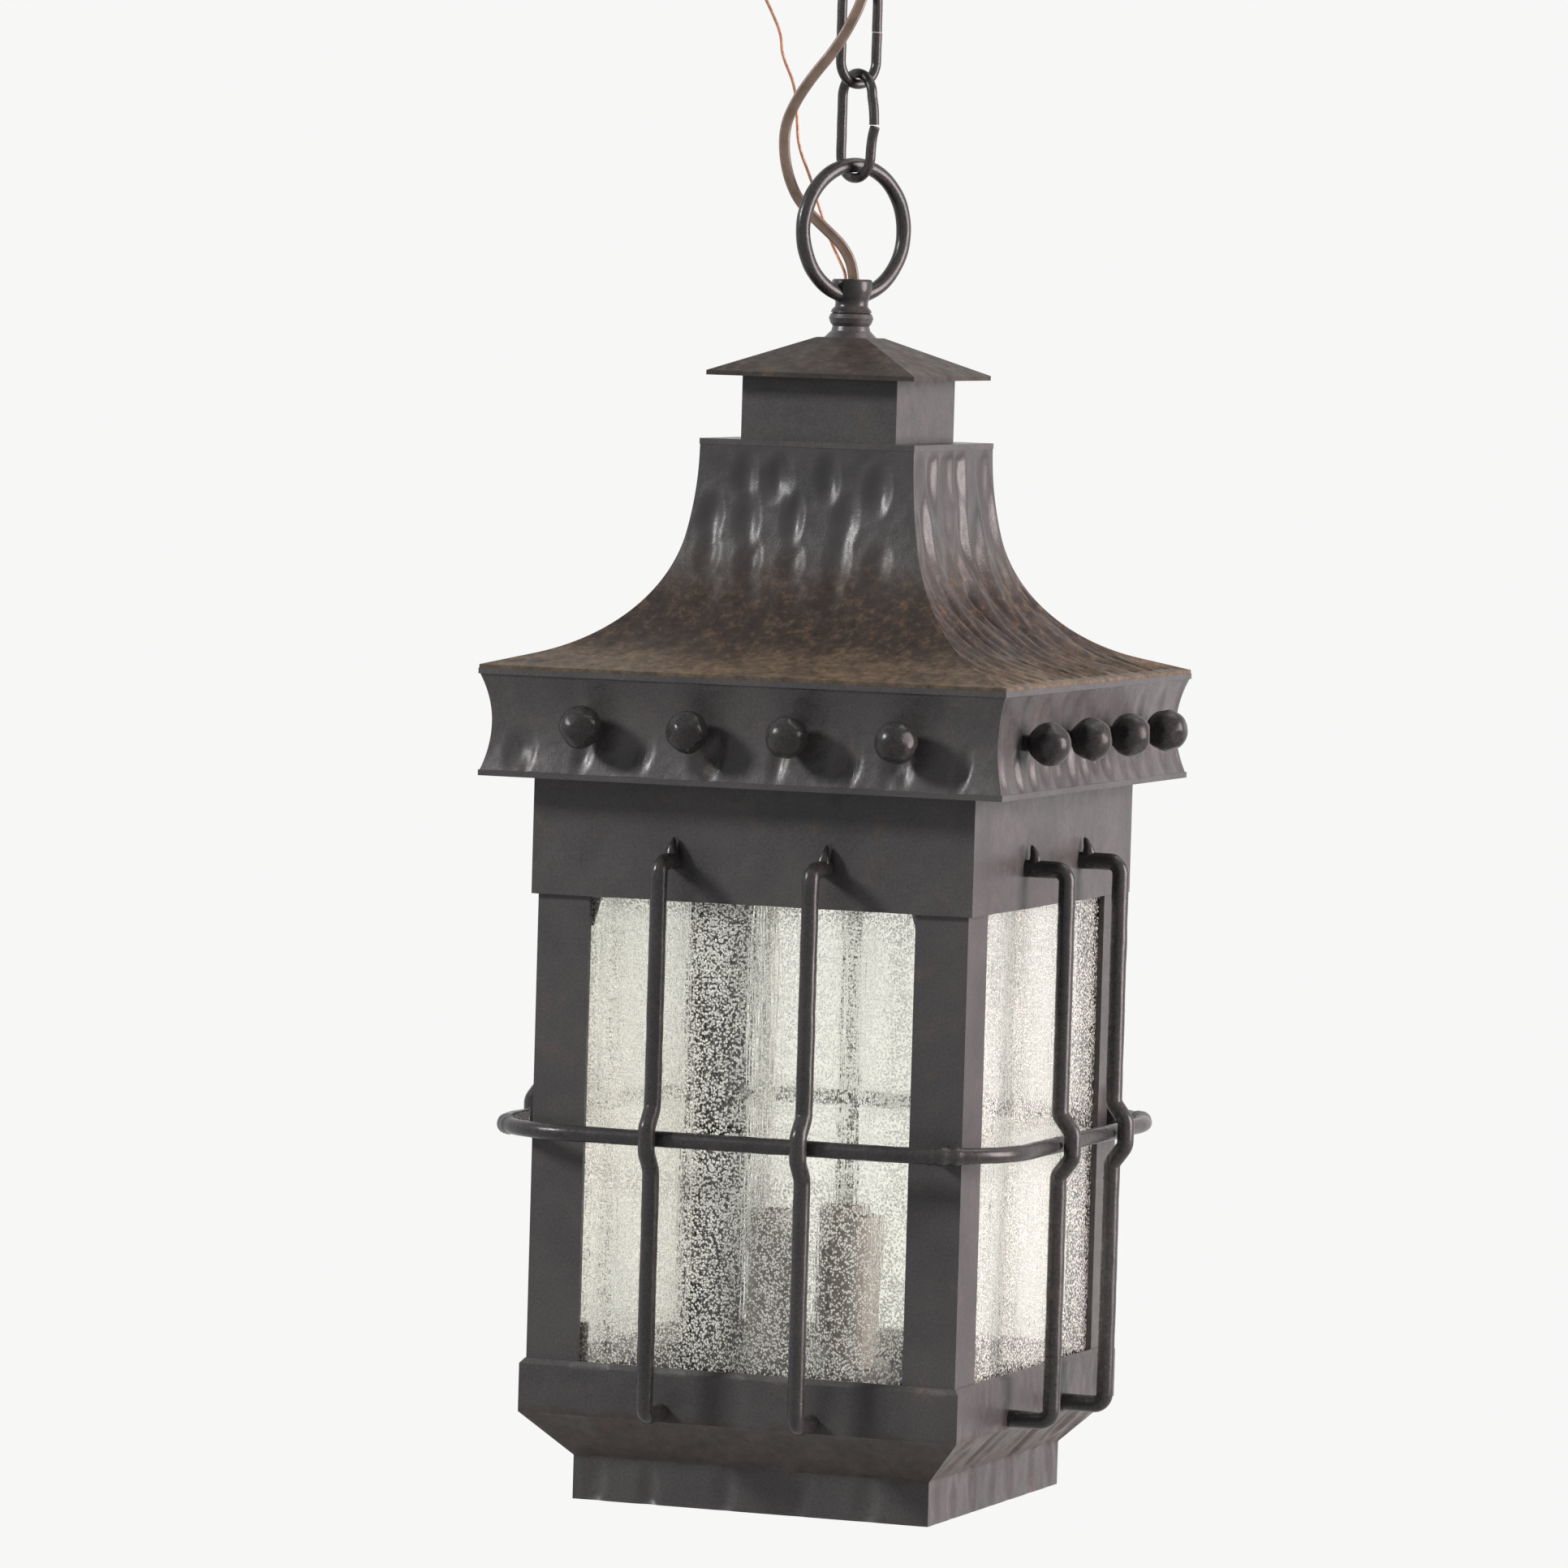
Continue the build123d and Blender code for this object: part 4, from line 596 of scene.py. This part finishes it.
def rounded_path(corners, radius, step):
    """Straight runs with round bends, as close points in millimetres."""
    corners = [Vector(c) for c in corners]
    path = [corners[0]]
    for before, corner, after in zip(corners, corners[1:], corners[2:]):
        come = (corner - before).normalized()
        go = (after - corner).normalized()
        turn = come.angle(go)
        reach = radius * math.tan(turn / 2)
        start = corner - come * reach
        inward = (go - come * go.dot(come)).normalized()
        centre = start + inward * radius
        pieces = max(4, int(turn / math.radians(9)))
        straight(path, start, step)
        for k in range(1, pieces + 1):
            angle = turn * k / pieces
            path.append(centre - inward * radius * math.cos(angle) + come * radius * math.sin(angle))
    straight(path, corners[-1], step)
    return path


def straight(path, end, step):
    """Adds points up to and with end, no further apart than step."""
    begin = path[-1].copy()
    count = max(1, int((end - begin).length / step))
    for k in range(1, count + 1):
        path.append(begin.lerp(end, k / count))


def mitred_sweep(name, loop, material, columns, relief, edge_fade=4.0):
    """Square form from a closed loop of (half width, level, relief share) points.

    A share below zero is the sheet's inner side, which takes the marks of the outer side at its level.
    """
    loop = np.asarray(loop, float)
    ahead = np.roll(loop[:, :2], -1, axis=0) - loop[:, :2]
    behind = loop[:, :2] - np.roll(loop[:, :2], 1, axis=0)
    ahead /= np.linalg.norm(ahead, axis=1)[:, None]
    behind /= np.linalg.norm(behind, axis=1)[:, None]
    tangent = ahead + behind
    tangent /= np.linalg.norm(tangent, axis=1)[:, None]
    area = 0.5 * np.sum(loop[:, 0] * np.roll(loop[:, 1], -1) - np.roll(loop[:, 0], -1) * loop[:, 1])
    outward = np.stack([tangent[:, 1], -tangent[:, 0]], axis=1) * (1 if area > 0 else -1)
    run = np.concatenate([[0], np.cumsum(np.linalg.norm(np.diff(loop[:, :2], axis=0), axis=1))])
    outer_side, inner_side = loop[:, 2] > 0, loop[:, 2] < 0
    run[inner_side] = np.interp(-loop[inner_side, 1], -loop[outer_side, 1], run[outer_side])
    share = np.linspace(-1, 1, columns)
    share = np.sign(share) * (1 - (1 - np.abs(share)) ** 1.15)
    points, faces = [], []
    rows = len(loop)
    for side in range(4):
        half = loop[:, 0:1]
        along = half * share[None, :]
        out = np.repeat(half, columns, axis=1)
        level = np.repeat(loop[:, 1:2], columns, axis=1)
        lift = relief(side, along, np.repeat(run[:, None], columns, axis=1), level)
        near = np.clip((half - np.abs(along)) / edge_fade, 0, 1)
        lift = lift * loop[:, 2:3] * near * near * (3 - 2 * near)
        out = out + lift * outward[:, 0:1]
        level = level + lift * outward[:, 1:2]
        angle = math.pi / 2 * side
        x = out * math.cos(angle) - along * math.sin(angle)
        y = out * math.sin(angle) + along * math.cos(angle)
        base = side * rows * columns
        points.append(np.stack([x, y, level], axis=2).reshape(-1, 3))
        for i in range(rows):
            n = (i + 1) % rows
            for j in range(columns - 1):
                faces.append((base + i * columns + j, base + n * columns + j,
                              base + n * columns + j + 1, base + i * columns + j + 1))
    return mesh_from(name, np.concatenate(points) * MM, faces, material)


# Hammer marks: each is a place, a size, a depth and a lean, in millimetres

def dent_field(marks, u, v):
    lift = np.zeros_like(u)
    for centre_u, centre_v, wide, tall, depth, lean in marks:
        across = u - centre_u - lean * (v - centre_v)
        q = (across / (wide * np.where(across > 0, 0.8, 1.25))) ** 2 + ((v - centre_v) / tall) ** 2
        near = q < 9
        bowl = -depth * np.exp(-q[near] ** 1.15)
        rim = 0.08 * depth * np.exp(-((np.sqrt(q[near]) - 1.45) / 0.35) ** 2)
        lift[near] += bowl + rim
    return lift


def noise_field(u, v, size, seed):
    """Smooth noise from a few seeded waves, between about -1 and 1."""
    chance = np.random.default_rng(seed)
    total = np.zeros_like(u)
    for _ in range(14):
        angle = chance.uniform(0, math.pi)
        length = size * chance.uniform(0.7, 1.8)
        phase = chance.uniform(0, 2 * math.pi)
        total += np.sin((u * math.cos(angle) + v * math.sin(angle)) * 2 * math.pi / length + phase)
    return total / 14 ** 0.5 / 1.4


def placed_marks(seed, places, run, wide, tall, depth, lean=0.0):
    """Hammer marks at given places along one run length, a little uneven."""
    chance = np.random.default_rng(seed)
    return [
        (place, run + chance.normal(0, 1.2), wide * chance.uniform(0.85, 1.2), tall * chance.uniform(0.85, 1.15),
         depth * chance.uniform(0.8, 1.2), lean + chance.normal(0, 0.05))
        for place in places
    ]


def marks_in_rows(seed, reach, first, last, pitch, row_pitch, wide, tall, depth, lean=0.0, keep=1.0):
    """Seeded hammer marks in loose columns between two run lengths."""
    chance = np.random.default_rng(seed)
    marks = []
    row = 0
    level = first
    while level < last:
        u = -reach + pitch * (0.35 + 0.3 * (row % 2))
        while u < reach:
            if chance.random() < keep:
                marks.append((
                    u + chance.normal(0, pitch * 0.1), level + chance.normal(0, row_pitch * 0.14),
                    wide * chance.uniform(0.75, 1.25), tall * chance.uniform(0.75, 1.3),
                    depth * chance.uniform(0.5, 1.25), lean + chance.normal(0, 0.05),
                ))
            u += pitch * chance.uniform(0.85, 1.15)
        level += row_pitch
        row += 1
    return marks


# Leads

def route_spline(name, points):
    """The route's own smooth line, as a curve and as the points along it."""
    curve = bpy.data.curves.new(name, "CURVE")
    curve.dimensions = "3D"
    curve.resolution_u = 14
    spline = curve.splines.new("NURBS")
    spline.points.add(len(points) - 1)
    for point, place in zip(spline.points, points):
        point.co = (*place, 1.0)
    spline.order_u = 3
    spline.use_endpoint_u = True
    holder = bpy.data.objects.new(name, curve)
    bpy.context.scene.collection.objects.link(holder)
    bpy.context.view_layer.update()
    mesh = bpy.data.meshes.new_from_object(holder.evaluated_get(bpy.context.evaluated_depsgraph_get()))
    path = [tuple(v.co) for v in mesh.vertices]
    bpy.data.meshes.remove(mesh)
    bpy.data.objects.remove(holder)
    bpy.data.curves.remove(curve)
    return path


def halfway(first, second):
    return tuple((a + b) / 2 for a, b in zip(first, second))


def three_stretches(lower, middle, upper):
    """Three stretches of one route, which meet halfway between their lists."""
    first = halfway(lower[-1], middle[0])
    second = halfway(middle[-1], upper[0])
    return [lower + [first], [first] + middle + [second], [second] + upper]


def twin_section():
    """Section of flat twin lead: two round cores side by side with a groove."""
    core = CORD_THICK / 2
    shift = CORD_WIDTH / 2 - core
    section = []
    for k in range(28):
        angle = 2 * math.pi * k / 28
        side = 1 if math.cos(angle) >= 0 else -1
        x = side * shift + core * math.cos(angle) * 1.0
        y = core * math.sin(angle)
        if abs(math.cos(angle)) < 0.3:
            x = side * shift * 0.42
            y = core * 0.72 * (1 if y > 0 else -1)
        section.append((x, y))
    return section


def stretch_pieces(label, stretches, section, start, material):
    """The chain's lead in three stretches with one unbroken twist of frames."""
    paths = [route_spline(f"{label}_{k}", points) for k, points in enumerate(stretches)]
    whole = paths[0] + paths[1][1:] + paths[2][1:]
    across, upward = sweep_frames(whole, start=start)
    names = ("lower", "middle", "upper")
    bodies = (("lantern", "lower_link"), ("lower_link", "upper_link"), ("upper_link", "canopy"))
    first = 0
    for name, path, (low, high) in zip(names, paths, bodies):
        last = first + len(path)
        frames = (across[first:last], upward[first:last])
        points, faces = tube_mesh(path, section, frames)
        piece = mesh_from(f"{label}_{name}_dressed", points, faces, material)
        first = last - 1
        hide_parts(f"{label}_{name}")
        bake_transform(piece)


def make_leads(cord, copper):
    stretch_pieces("power_cord", three_stretches(CORD_LOWER, CORD_MIDDLE, CORD_UPPER), twin_section(),
                   (0.93, 0.36, 0.0), cord)
    stretch_pieces("ground_wire", three_stretches(GROUND_LOWER, GROUND_MIDDLE, GROUND_UPPER),
                   circle(GROUND_WIRE / 2, 12), (0.93, 0.36, 0.0), copper)
    for name, points, section, diameter, material, slot in (
        ("lamp_lead", LAMP_LEAD, twin_section(), CORD_WIDTH, cord, "lead_jacket"),
        ("ground_lead", GROUND_LEAD, circle(GROUND_WIRE / 2, 12), GROUND_WIRE, copper, "bare_copper"),
    ):
        path = route_spline(name, points)
        made, faces = tube_mesh(path, section, sweep_frames(path, start=(0.93, 0.36, 0.0)))
        piece = mesh_from(f"{name}_dressed", made, faces, material)
        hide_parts(name)
        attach(piece, "lantern")


# Ironwork

def flare_line(inset, step):
    """Outer line of the flared roof, inset inside it, from its top to its edge."""
    line = []
    centre = 49.5 + 197.0
    for k in range(int(38.5 / step) + 1):
        angle = math.radians(11.2) * k / int(38.5 / step)
        radius = 197.0 + inset
        line.append((centre - radius * math.cos(angle), ROOF_TOP - radius * math.sin(angle)))
    end = math.radians(11.2)
    centre_x = centre - (197.0 - 69.0) * math.cos(end)
    centre_z = ROOF_TOP - (197.0 - 69.0) * math.sin(end)
    count = int(76.0 / step)
    for k in range(1, count + 1):
        angle = end + math.radians(63.0) * k / count
        radius = 69.0 + inset
        line.append((centre_x - radius * math.cos(angle), centre_z - radius * math.sin(angle)))
    edge = (BAND_HALF - 0.25, ROOF_EDGE - inset)
    last = line[-1]
    count = int(19.0 / step)
    for k in range(1, count + 1):
        line.append((last[0] + (edge[0] - last[0]) * k / count, last[1] + (edge[1] - last[1]) * k / count))
    return line


def make_roof(material):
    outer = flare_line(0.0, 1.3)
    inner = flare_line(1.5, 2.0)
    loop = [(r, z, 1.0) for r, z in outer] + [(r, z, -1.0) for r, z in reversed(inner)]
    marks = []
    for side in range(4):
        if side % 2:
            rows = []
            for k, (run, depth, places) in enumerate(ROOF_FRONT_MARKS):
                rows += placed_marks(40 + 4 * side + k, places, run, 4.1, 8.6, depth)
        else:
            rows = marks_in_rows(40 + side, 70.0, 12.0, 82.0, 20.5, 24.0, 6.2, 15.5, 2.9, keep=1.0)
            rows += marks_in_rows(50 + side, 118.0, 76.0, 128.0, 11.5, 16.0, 3.1, 13.0, 2.5, keep=0.95)
        marks.append(rows)

    def relief(side, u, v, level):
        flat = np.clip((v - 72.0) / 50.0, 0, 1)
        rough = 0.14 * noise_field(u, v, 30.0, 7 + side) + (0.04 + 0.12 * flat) * noise_field(u, v, 7.0, 17 + side)
        top = np.clip(v / 4.0, 0, 1)
        edge = np.clip((130.0 - v) / 3.0, 0, 1)
        return (dent_field(marks[side], u, v) + rough) * top * np.clip(edge, 0.15, 1)

    roof = mitred_sweep("roof_dressed", loop, material, 131, relief, edge_fade=3.0)
    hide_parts("roof")
    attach(roof, "lantern")


def make_band(material):
    top = BAND_TOP - 2.5
    foot = BAND_FOOT + 2.5
    middle = (top + foot) / 2

    def web(inset, count):
        upper, lower, waist = BAND_HALF - 0.6 - inset, 119.4 - inset, BAND_WAIST_HALF - inset
        line = []
        for k in range(count + 1):
            t = -1 + 2 * k / count
            end = upper if t < 0 else lower
            line.append((waist + (end - waist) * t * t, middle - t * (top - foot) / 2))
        return line

    outer = web(0.0, 34)
    inner = web(1.6, 24)
    loop = [(108.0, BAND_TOP, 0.0), (BAND_HALF, BAND_TOP, 0.0), (BAND_HALF, top, 0.0)]
    loop += [(r, z, 1.0) for r, z in outer]
    loop += [(120.0, foot, 0.0), (120.0, BAND_FOOT, 0.0), (FASCIA_HALF, BAND_FOOT, 0.0), (FASCIA_HALF, foot, 0.0)]
    loop += [(r, z, -1.0) for r, z in reversed(inner)]
    loop += [(108.0, top, 0.0)]
    marks = []
    for side in range(4):
        if side % 2:
            low = placed_marks(60 + side, BAND_FRONT_MARKS, 47.5, 3.2, 8.0, 1.6, -0.16)
            high = marks_in_rows(80 + side, 119.0, 27.0, 34.0, 34.0, 12.0, 4.5, 7.0, 0.5, 0.1, 0.6)
        else:
            low = marks_in_rows(60 + side, 119.0, 49.0, 52.0, 17.0, 14.0, 4.4, 8.5, 2.0, -0.1, 1.0)
            high = marks_in_rows(80 + side, 119.0, 26.0, 30.0, 24.0, 12.0, 5.0, 7.5, 0.9, 0.1, 0.8)
        marks.append(low + high)

    def relief(side, u, v, level):
        rough = 0.22 * noise_field(u, v, 34.0, 27 + side) + 0.05 * noise_field(u, v, 6.0, 37 + side)
        return dent_field(marks[side], u, v) + rough

    band = mitred_sweep("band_dressed", loop, material, 151, relief, edge_fade=2.5)
    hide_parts("band")
    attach(band, "lantern")


def forged_ball(centre, radius, seed, points, faces):
    """Ball dressed with the hammer: a sphere cut by many small flats."""
    chance = np.random.default_rng(seed)
    ball = bmesh.new()
    bmesh.ops.create_icosphere(ball, subdivisions=4, radius=1.0)
    flats = chance.normal(size=(26, 3))
    flats /= np.linalg.norm(flats, axis=1)[:, None]
    depths = chance.uniform(0.9, 0.965, 26)
    base = len(points)
    for vert in ball.verts:
        p = np.array(vert.co)
        for normal, depth in zip(flats, depths):
            over = p.dot(normal) - depth
            if over > 0:
                p = p - 0.92 * over * normal
        points.append(tuple(np.array(centre) + p * radius))
    for face in ball.faces:
        faces.append(tuple(base + v.index for v in face.verts))
    ball.free()


def add_part(points, faces, more_points, more_faces):
    base = len(points)
    points.extend(tuple(p) for p in more_points)
    faces.extend(tuple(base + k for k in face) for face in more_faces)


def make_ball_studs(material):
    points, faces = [], []
    level = (BAND_TOP + BAND_FOOT) / 2
    for side in range(4):
        angle = math.pi / 2 * side
        turn = Matrix.Rotation(angle, 3, "Z")
        for k, row in enumerate(BALL_ROWS[side]):
            centre = turn @ Vector((BAND_WAIST_HALF + 11.2, row, level))
            forged_ball(centre, 9.35, 100 + side * 4 + k, points, faces)
            for start, end, radius in ((112.6, 114.0, 4.5), (112.8, 115.6, 2.5), (116.1, 122.0, 3.5)):
                path = [turn @ Vector((start, row, level)), turn @ Vector((end, row, level))]
                add_part(points, faces, *tube_mesh(path, circle(radius, 18)))
    studs = mesh_from("ball_studs_dressed", np.array(points) * MM, faces, material, math.radians(60))
    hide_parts("ball_studs")
    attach(studs, "lantern")


def make_base_tray(material):
    rail_foot = TRAY_TOP - 23.3
    slope_foot = rail_foot - 19.7
    skirt_foot = slope_foot - 19.1

    def run(first, last, count):
        return [tuple(a + (b - a) * k / count for a, b in zip(first, last)) for k in range(count + 1)]

    loop = [(98.9, TRAY_TOP, 0.0), (99.3, TRAY_TOP, 0.0)]
    loop += [(r, z, 0.8) for r, z in run((TRAY_HALF, TRAY_TOP - 2.3), (TRAY_HALF, rail_foot), 12)]
    loop += [(r, z, 1.0) for r, z in run((TRAY_HALF, rail_foot), (82.3, slope_foot), 16)[1:]]
    loop += [(r, z, 1.0) for r, z in run((82.3, slope_foot), (82.3, skirt_foot), 12)[1:]]
    loop += [(80.0, skirt_foot, 0.0), (80.0, slope_foot + 1.0, 0.0), (98.9, rail_foot + 1.0, 0.0)]
    marks = []
    for side in range(4):
        if side % 2:
            rail = marks_in_rows(120 + side, 100.0, 9.0, 12.0, 30.0, 9.0, 9.0, 8.0, 0.6, 0.15, 0.9)
            slope = marks_in_rows(140 + side, 92.0, 36.0, 50.0, 34.0, 20.0, 9.0, 10.0, 0.7, 0.0, 0.9)
            skirt = placed_marks(160 + side, SKIRT_FRONT_MARKS, 62.0, 4.2, 9.0, 1.5)
        else:
            rail = marks_in_rows(120 + side, 100.0, 9.0, 20.0, 9.0, 9.0, 2.2, 6.5, 0.45, 0.0, 0.8)
            slope = marks_in_rows(140 + side, 92.0, 37.0, 50.0, 21.0, 20.0, 4.8, 12.5, 1.6, 0.0, 1.0)
            skirt = marks_in_rows(160 + side, 82.0, 62.0, 70.0, 24.0, 20.0, 4.2, 10.0, 1.3, 0.0, 1.0)
        marks.append(rail + slope + skirt)

    def relief(side, u, v, level):
        rough = 0.2 * noise_field(u, v, 30.0, 47 + side) + 0.05 * noise_field(u, v, 6.0, 57 + side)
        edge = np.clip((level - skirt_foot) / 1.5, 0.2, 1)
        return (dent_field(marks[side], u, v) + rough) * edge

    tray = mitred_sweep("base_tray_dressed", loop, material, 121, relief, edge_fade=2.5)
    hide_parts("base_tray")
    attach(tray, "lantern")


def make_fascia(material):
    count = 30
    outer = [(FASCIA_HALF, FASCIA_TOP + (FASCIA_FOOT - FASCIA_TOP) * k / count, 1.0) for k in range(count + 1)]
    outer[0] = (*outer[0][:2], 0.0)
    loop = [(ANGLE_HALF, FASCIA_TOP, 0.0)] + outer + [(ANGLE_HALF, FASCIA_FOOT, 0.0)]

    def relief(side, u, v, level):
        return 0.16 * noise_field(u, v, 34.0, 67 + side) + 0.035 * noise_field(u, v, 7.0, 77 + side)

    fascia = mitred_sweep("fascia_dressed", loop, material, 81, relief, edge_fade=3.0)
    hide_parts("fascia")
    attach(fascia, "lantern")


def rod_path(offset):
    """Centre line of one guard rod in front of the face on +X."""
    top, foot = ROOF_EDGE - 81.3, TRAY_TOP - 19.0
    out, joggle, hold = 120.0, 126.0, 5.3
    corners = [
        (101.0, offset, top), (out, offset, top), (out, offset, HOOP_LEVEL + hold + 8.0),
        (joggle, offset, HOOP_LEVEL + hold), (joggle, offset, HOOP_LEVEL - hold),
        (out, offset, HOOP_LEVEL - hold - 8.0), (out, offset, foot), (101.0, offset, foot),
    ]
    return rounded_path(corners, 5.0, 2.5)


def pointed_tip(offset, points, faces, seed):
    """The rod's drawn-out end, turned up against the fascia to a point."""
    top = ROOF_EDGE - 81.3
    path, size = [], []
    for k in range(12):
        t = k / 11
        path.append((104.7 - 1.6 * t + 1.1 * math.sin(math.pi * t), offset + 0.5 * math.sin(2.2 * t + seed), top - 1.5 + 11.6 * t))
        size.append(3.7 * (1 - t) ** 0.75 + 0.45)
    made, more = tube_mesh(path, circle(1.0, 14), taper=size)
    add_part(points, faces, roughened(made, 2.2, 0.16, seed), more)


def make_guard_rods(material):
    for quarter, side in enumerate(("right", "back", "left", "front")):
        points, faces = [], []
        for k, offset in enumerate((-34.7, 34.7)):
            seed = quarter * 5.3 + k * 2.1
            path = rod_path(offset)
            made, more = tube_mesh(path, circle(3.7, 20))
            add_part(points, faces, roughened(made, 9.0, 0.16, seed), more)
            pointed_tip(offset, points, faces, seed)
        turn = Matrix.Rotation(math.pi / 2 * quarter, 3, "Z")
        rods = mesh_from(f"guard_rods_{side}_dressed", [turn @ Vector(p) * MM for p in points], faces, material)
        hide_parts(f"guard_rods_{side}")
        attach(rods, "lantern")


def make_hoop(material):
    half, corner, radius = 118.5, 46.5, 3.5
    path, swelling = [], []
    straight_half = half - corner
    for quarter in range(4):
        turn = Matrix.Rotation(math.pi / 2 * quarter, 3, "Z")
        for k in range(40):
            path.append(turn @ Vector((half, -straight_half + 2 * straight_half * k / 40, HOOP_LEVEL)))
            swelling.append(1.0)
        for k in range(52):
            angle = math.pi / 2 * k / 52
            path.append(turn @ Vector((
                straight_half + corner * math.cos(angle), straight_half + corner * math.sin(angle), HOOP_LEVEL)))
            turned = math.degrees(angle)
            swelling.append(1.0 + sum(
                share * math.exp(-((turned - place) / wide) ** 2)
                for place, wide, share in ((23.0, 2.4, 0.16), (29.0, 2.8, 0.3), (36.5, 2.2, 0.22))))
    frames = sweep_frames(path, closed=True)
    points, faces = tube_mesh(path, circle(radius, 20), frames, closed=True, taper=swelling)
    hoop = mesh_from("hoop_dressed", np.array([tuple(p) for p in roughened(points, 11.0, 0.18)]) * MM, faces, material)
    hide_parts("hoop")
    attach(hoop, "lantern")


def link_path(top, gap, spring):
    """Oval link in its own plane, open at its joint, where that side is sprung out."""
    bend, reach = 10.0, 45.6
    foot = top - reach
    middle = (top + foot) / 2
    path = []
    for k in range(9):
        bow = spring * (1 - (k / 9) ** 2)
        path.append((bend + bow, 0.0, middle + gap / 2 + (top - bend - middle - gap / 2) * k / 9))
    for k in range(24):
        angle = math.pi * k / 24
        path.append((bend * math.cos(angle), 0.0, top - bend + bend * math.sin(angle)))
    for k in range(18):
        path.append((-bend, 0.0, top - bend + (foot + bend - top + bend) * k / 18))
    for k in range(24):
        angle = math.pi + math.pi * k / 24
        path.append((bend * math.cos(angle), 0.0, foot + bend + bend * math.sin(angle)))
    for k in range(10):
        bow = (spring + 0.5 * gap) * (k / 9) ** 2
        path.append((bend + bow, 0.0, foot + bend + (middle - gap / 2 - foot - bend) * k / 9))
    return path


def make_links(material):
    for name, top, turn, gap, spring, seed in (
        ("upper_link", -66.5, RING_TURN, 0.25, 0.0, 3.0),
        ("lower_link", -107.4, RING_TURN - math.pi / 2, 1.0, 1.8, 8.0),
    ):
        path = link_path(top, gap, spring)
        points, faces = tube_mesh(path, circle(2.2, 20), sweep_frames(path, start=(0.0, 1.0, 0.0)))
        points = roughened(points, 6.0, 0.1, seed)
        about = Matrix.Rotation(turn, 3, "Z")
        link = mesh_from(f"{name}_dressed", [about @ Vector(p) * MM for p in points], faces, material)
        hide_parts(name)
        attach(link, name)


def make_hanging_ring(material):
    points, faces = [], []
    path = []
    mean = 28.55
    for k in range(120):
        angle = 2 * math.pi * k / 120
        path.append((mean * math.cos(angle), 0.0, RING_CENTRE + mean * math.sin(angle)))
    made, more = tube_mesh(path, circle(3.2, 22), sweep_frames(path, closed=True, start=(0.0, 1.0, 0.0)), closed=True)
    about = Matrix.Rotation(RING_TURN, 3, "Z")
    add_part(points, faces, [about @ Vector(p) for p in roughened(made, 9.0, 0.2)], more)
    profile = [
        (3.7, -211.5), (9.0, -211.5), (8.6, -210.3), (7.2, -208.9), (7.1, -207.2), (7.6, -205.6), (8.6, -202.6),
        (8.85, -200.9), (8.85, -198.0), (8.5, -197.2), (7.8, -196.9), (6.2, -196.95), (4.6, -197.4), (3.75, -198.4),
    ]
    count = len(profile)
    base = len(points)
    for k in range(40):
        angle = 2 * math.pi * k / 40
        for radius, level in profile:
            at = Vector((radius * math.cos(angle), radius * math.sin(angle), level))
            points.append(at + 0.12 * noise.noise_vector(at / 5.0))
    for k in range(40):
        n = (k + 1) % 40
        for i in range(count):
            j = (i + 1) % count
            faces.append((base + k * count + i, base + n * count + i, base + n * count + j, base + k * count + j))
    ring = mesh_from("hanging_ring_dressed", [Vector(p) * MM for p in points], faces, material, math.radians(50))
    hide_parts("hanging_ring")
    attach(ring, "lantern")


def dress_frame_nodes(by_slot, special):
    """Materials and softened edges for the frame's nodes that stay shown."""
    slots = {row["node"]: row["material_slot"] for row in frame["record"]["subparts"]}
    for name, node in frame["nodes"].items():
        material = special.get(name) or by_slot[slots[name]]
        if not node.material_slots:
            node.data.materials.append(material)
        for slot in node.material_slots:
            slot.material = material
        if name.startswith("glass_") and name != "glass_clips":
            continue
        bevel = node.modifiers.new("soft_edges", "BEVEL")
        bevel.width = 0.00035
        bevel.segments = 2
        bevel.limit_method = "ANGLE"
        bevel.angle_limit = math.radians(50)
        bevel.harden_normals = False


def make_floor(material):
    mesh = bpy.data.meshes.new("floor")
    mesh.from_pydata([(-2.4, -2.4, -2.1), (2.4, -2.4, -2.1), (2.4, 2.4, -2.1), (-2.4, 2.4, -2.1)], [], [(0, 1, 2, 3)])
    floor = link_object("floor", mesh, material)


def main():
    noise.seed_set(NOISE_SEED)
    make_camera()
    cord = cord_material()
    copper = copper_material()
    make_leads(cord, copper)
    make_world()
    aim = (0.0, 0.0, -0.46)
    area_light("left_front", (-1.75, -1.45, 0.75), aim, 0.38, 0.5, 62.0, (1.0, 0.99, 0.98))
    area_light("right_soft", (2.4, 0.35, 0.0), aim, 1.2, 1.8, 128.0, (1.0, 0.87, 0.865))
    area_light("top_soft", (0.6, 0.6, 1.5), aim, 1.0, 1.0, 10.0)
    iron = iron_material()
    rod = rod_material()
    roof = roof_material()
    cap = cap_material()
    glass = glass_material()
    zinc = zinc_material()
    thread = zinc_material(threaded=True)
    by_slot = {
        "hammered_iron": iron, "roof_sheet": roof, "plated_steel": zinc, "ground_screws": green_screw_material(),
        "lead_jacket": cord, "bare_copper": copper, "seeded_glass": glass,
        "candle_cover": candle_material(), "socket_shell": socket_material(),
    }
    special = {"cupola_cap": cap, "hanger_pipe": thread, "canopy_nipple": thread, "cluster_pipe": thread,
               "hoop_lugs": rod, "glass_clips": rod, "cupola_box": iron, "roof_plate": iron}
    dress_frame_nodes(by_slot, special)
    make_roof(roof)
    make_band(iron)
    make_ball_studs(ball_material())
    make_base_tray(base_material())
    make_fascia(iron)
    make_guard_rods(rod)
    make_hoop(rod)
    make_links(rod)
    make_hanging_ring(rod)
    make_floor(floor_material())
    bpy.context.scene.view_settings.view_transform = "Standard"


def write_size():
    import json


main()
write_size()
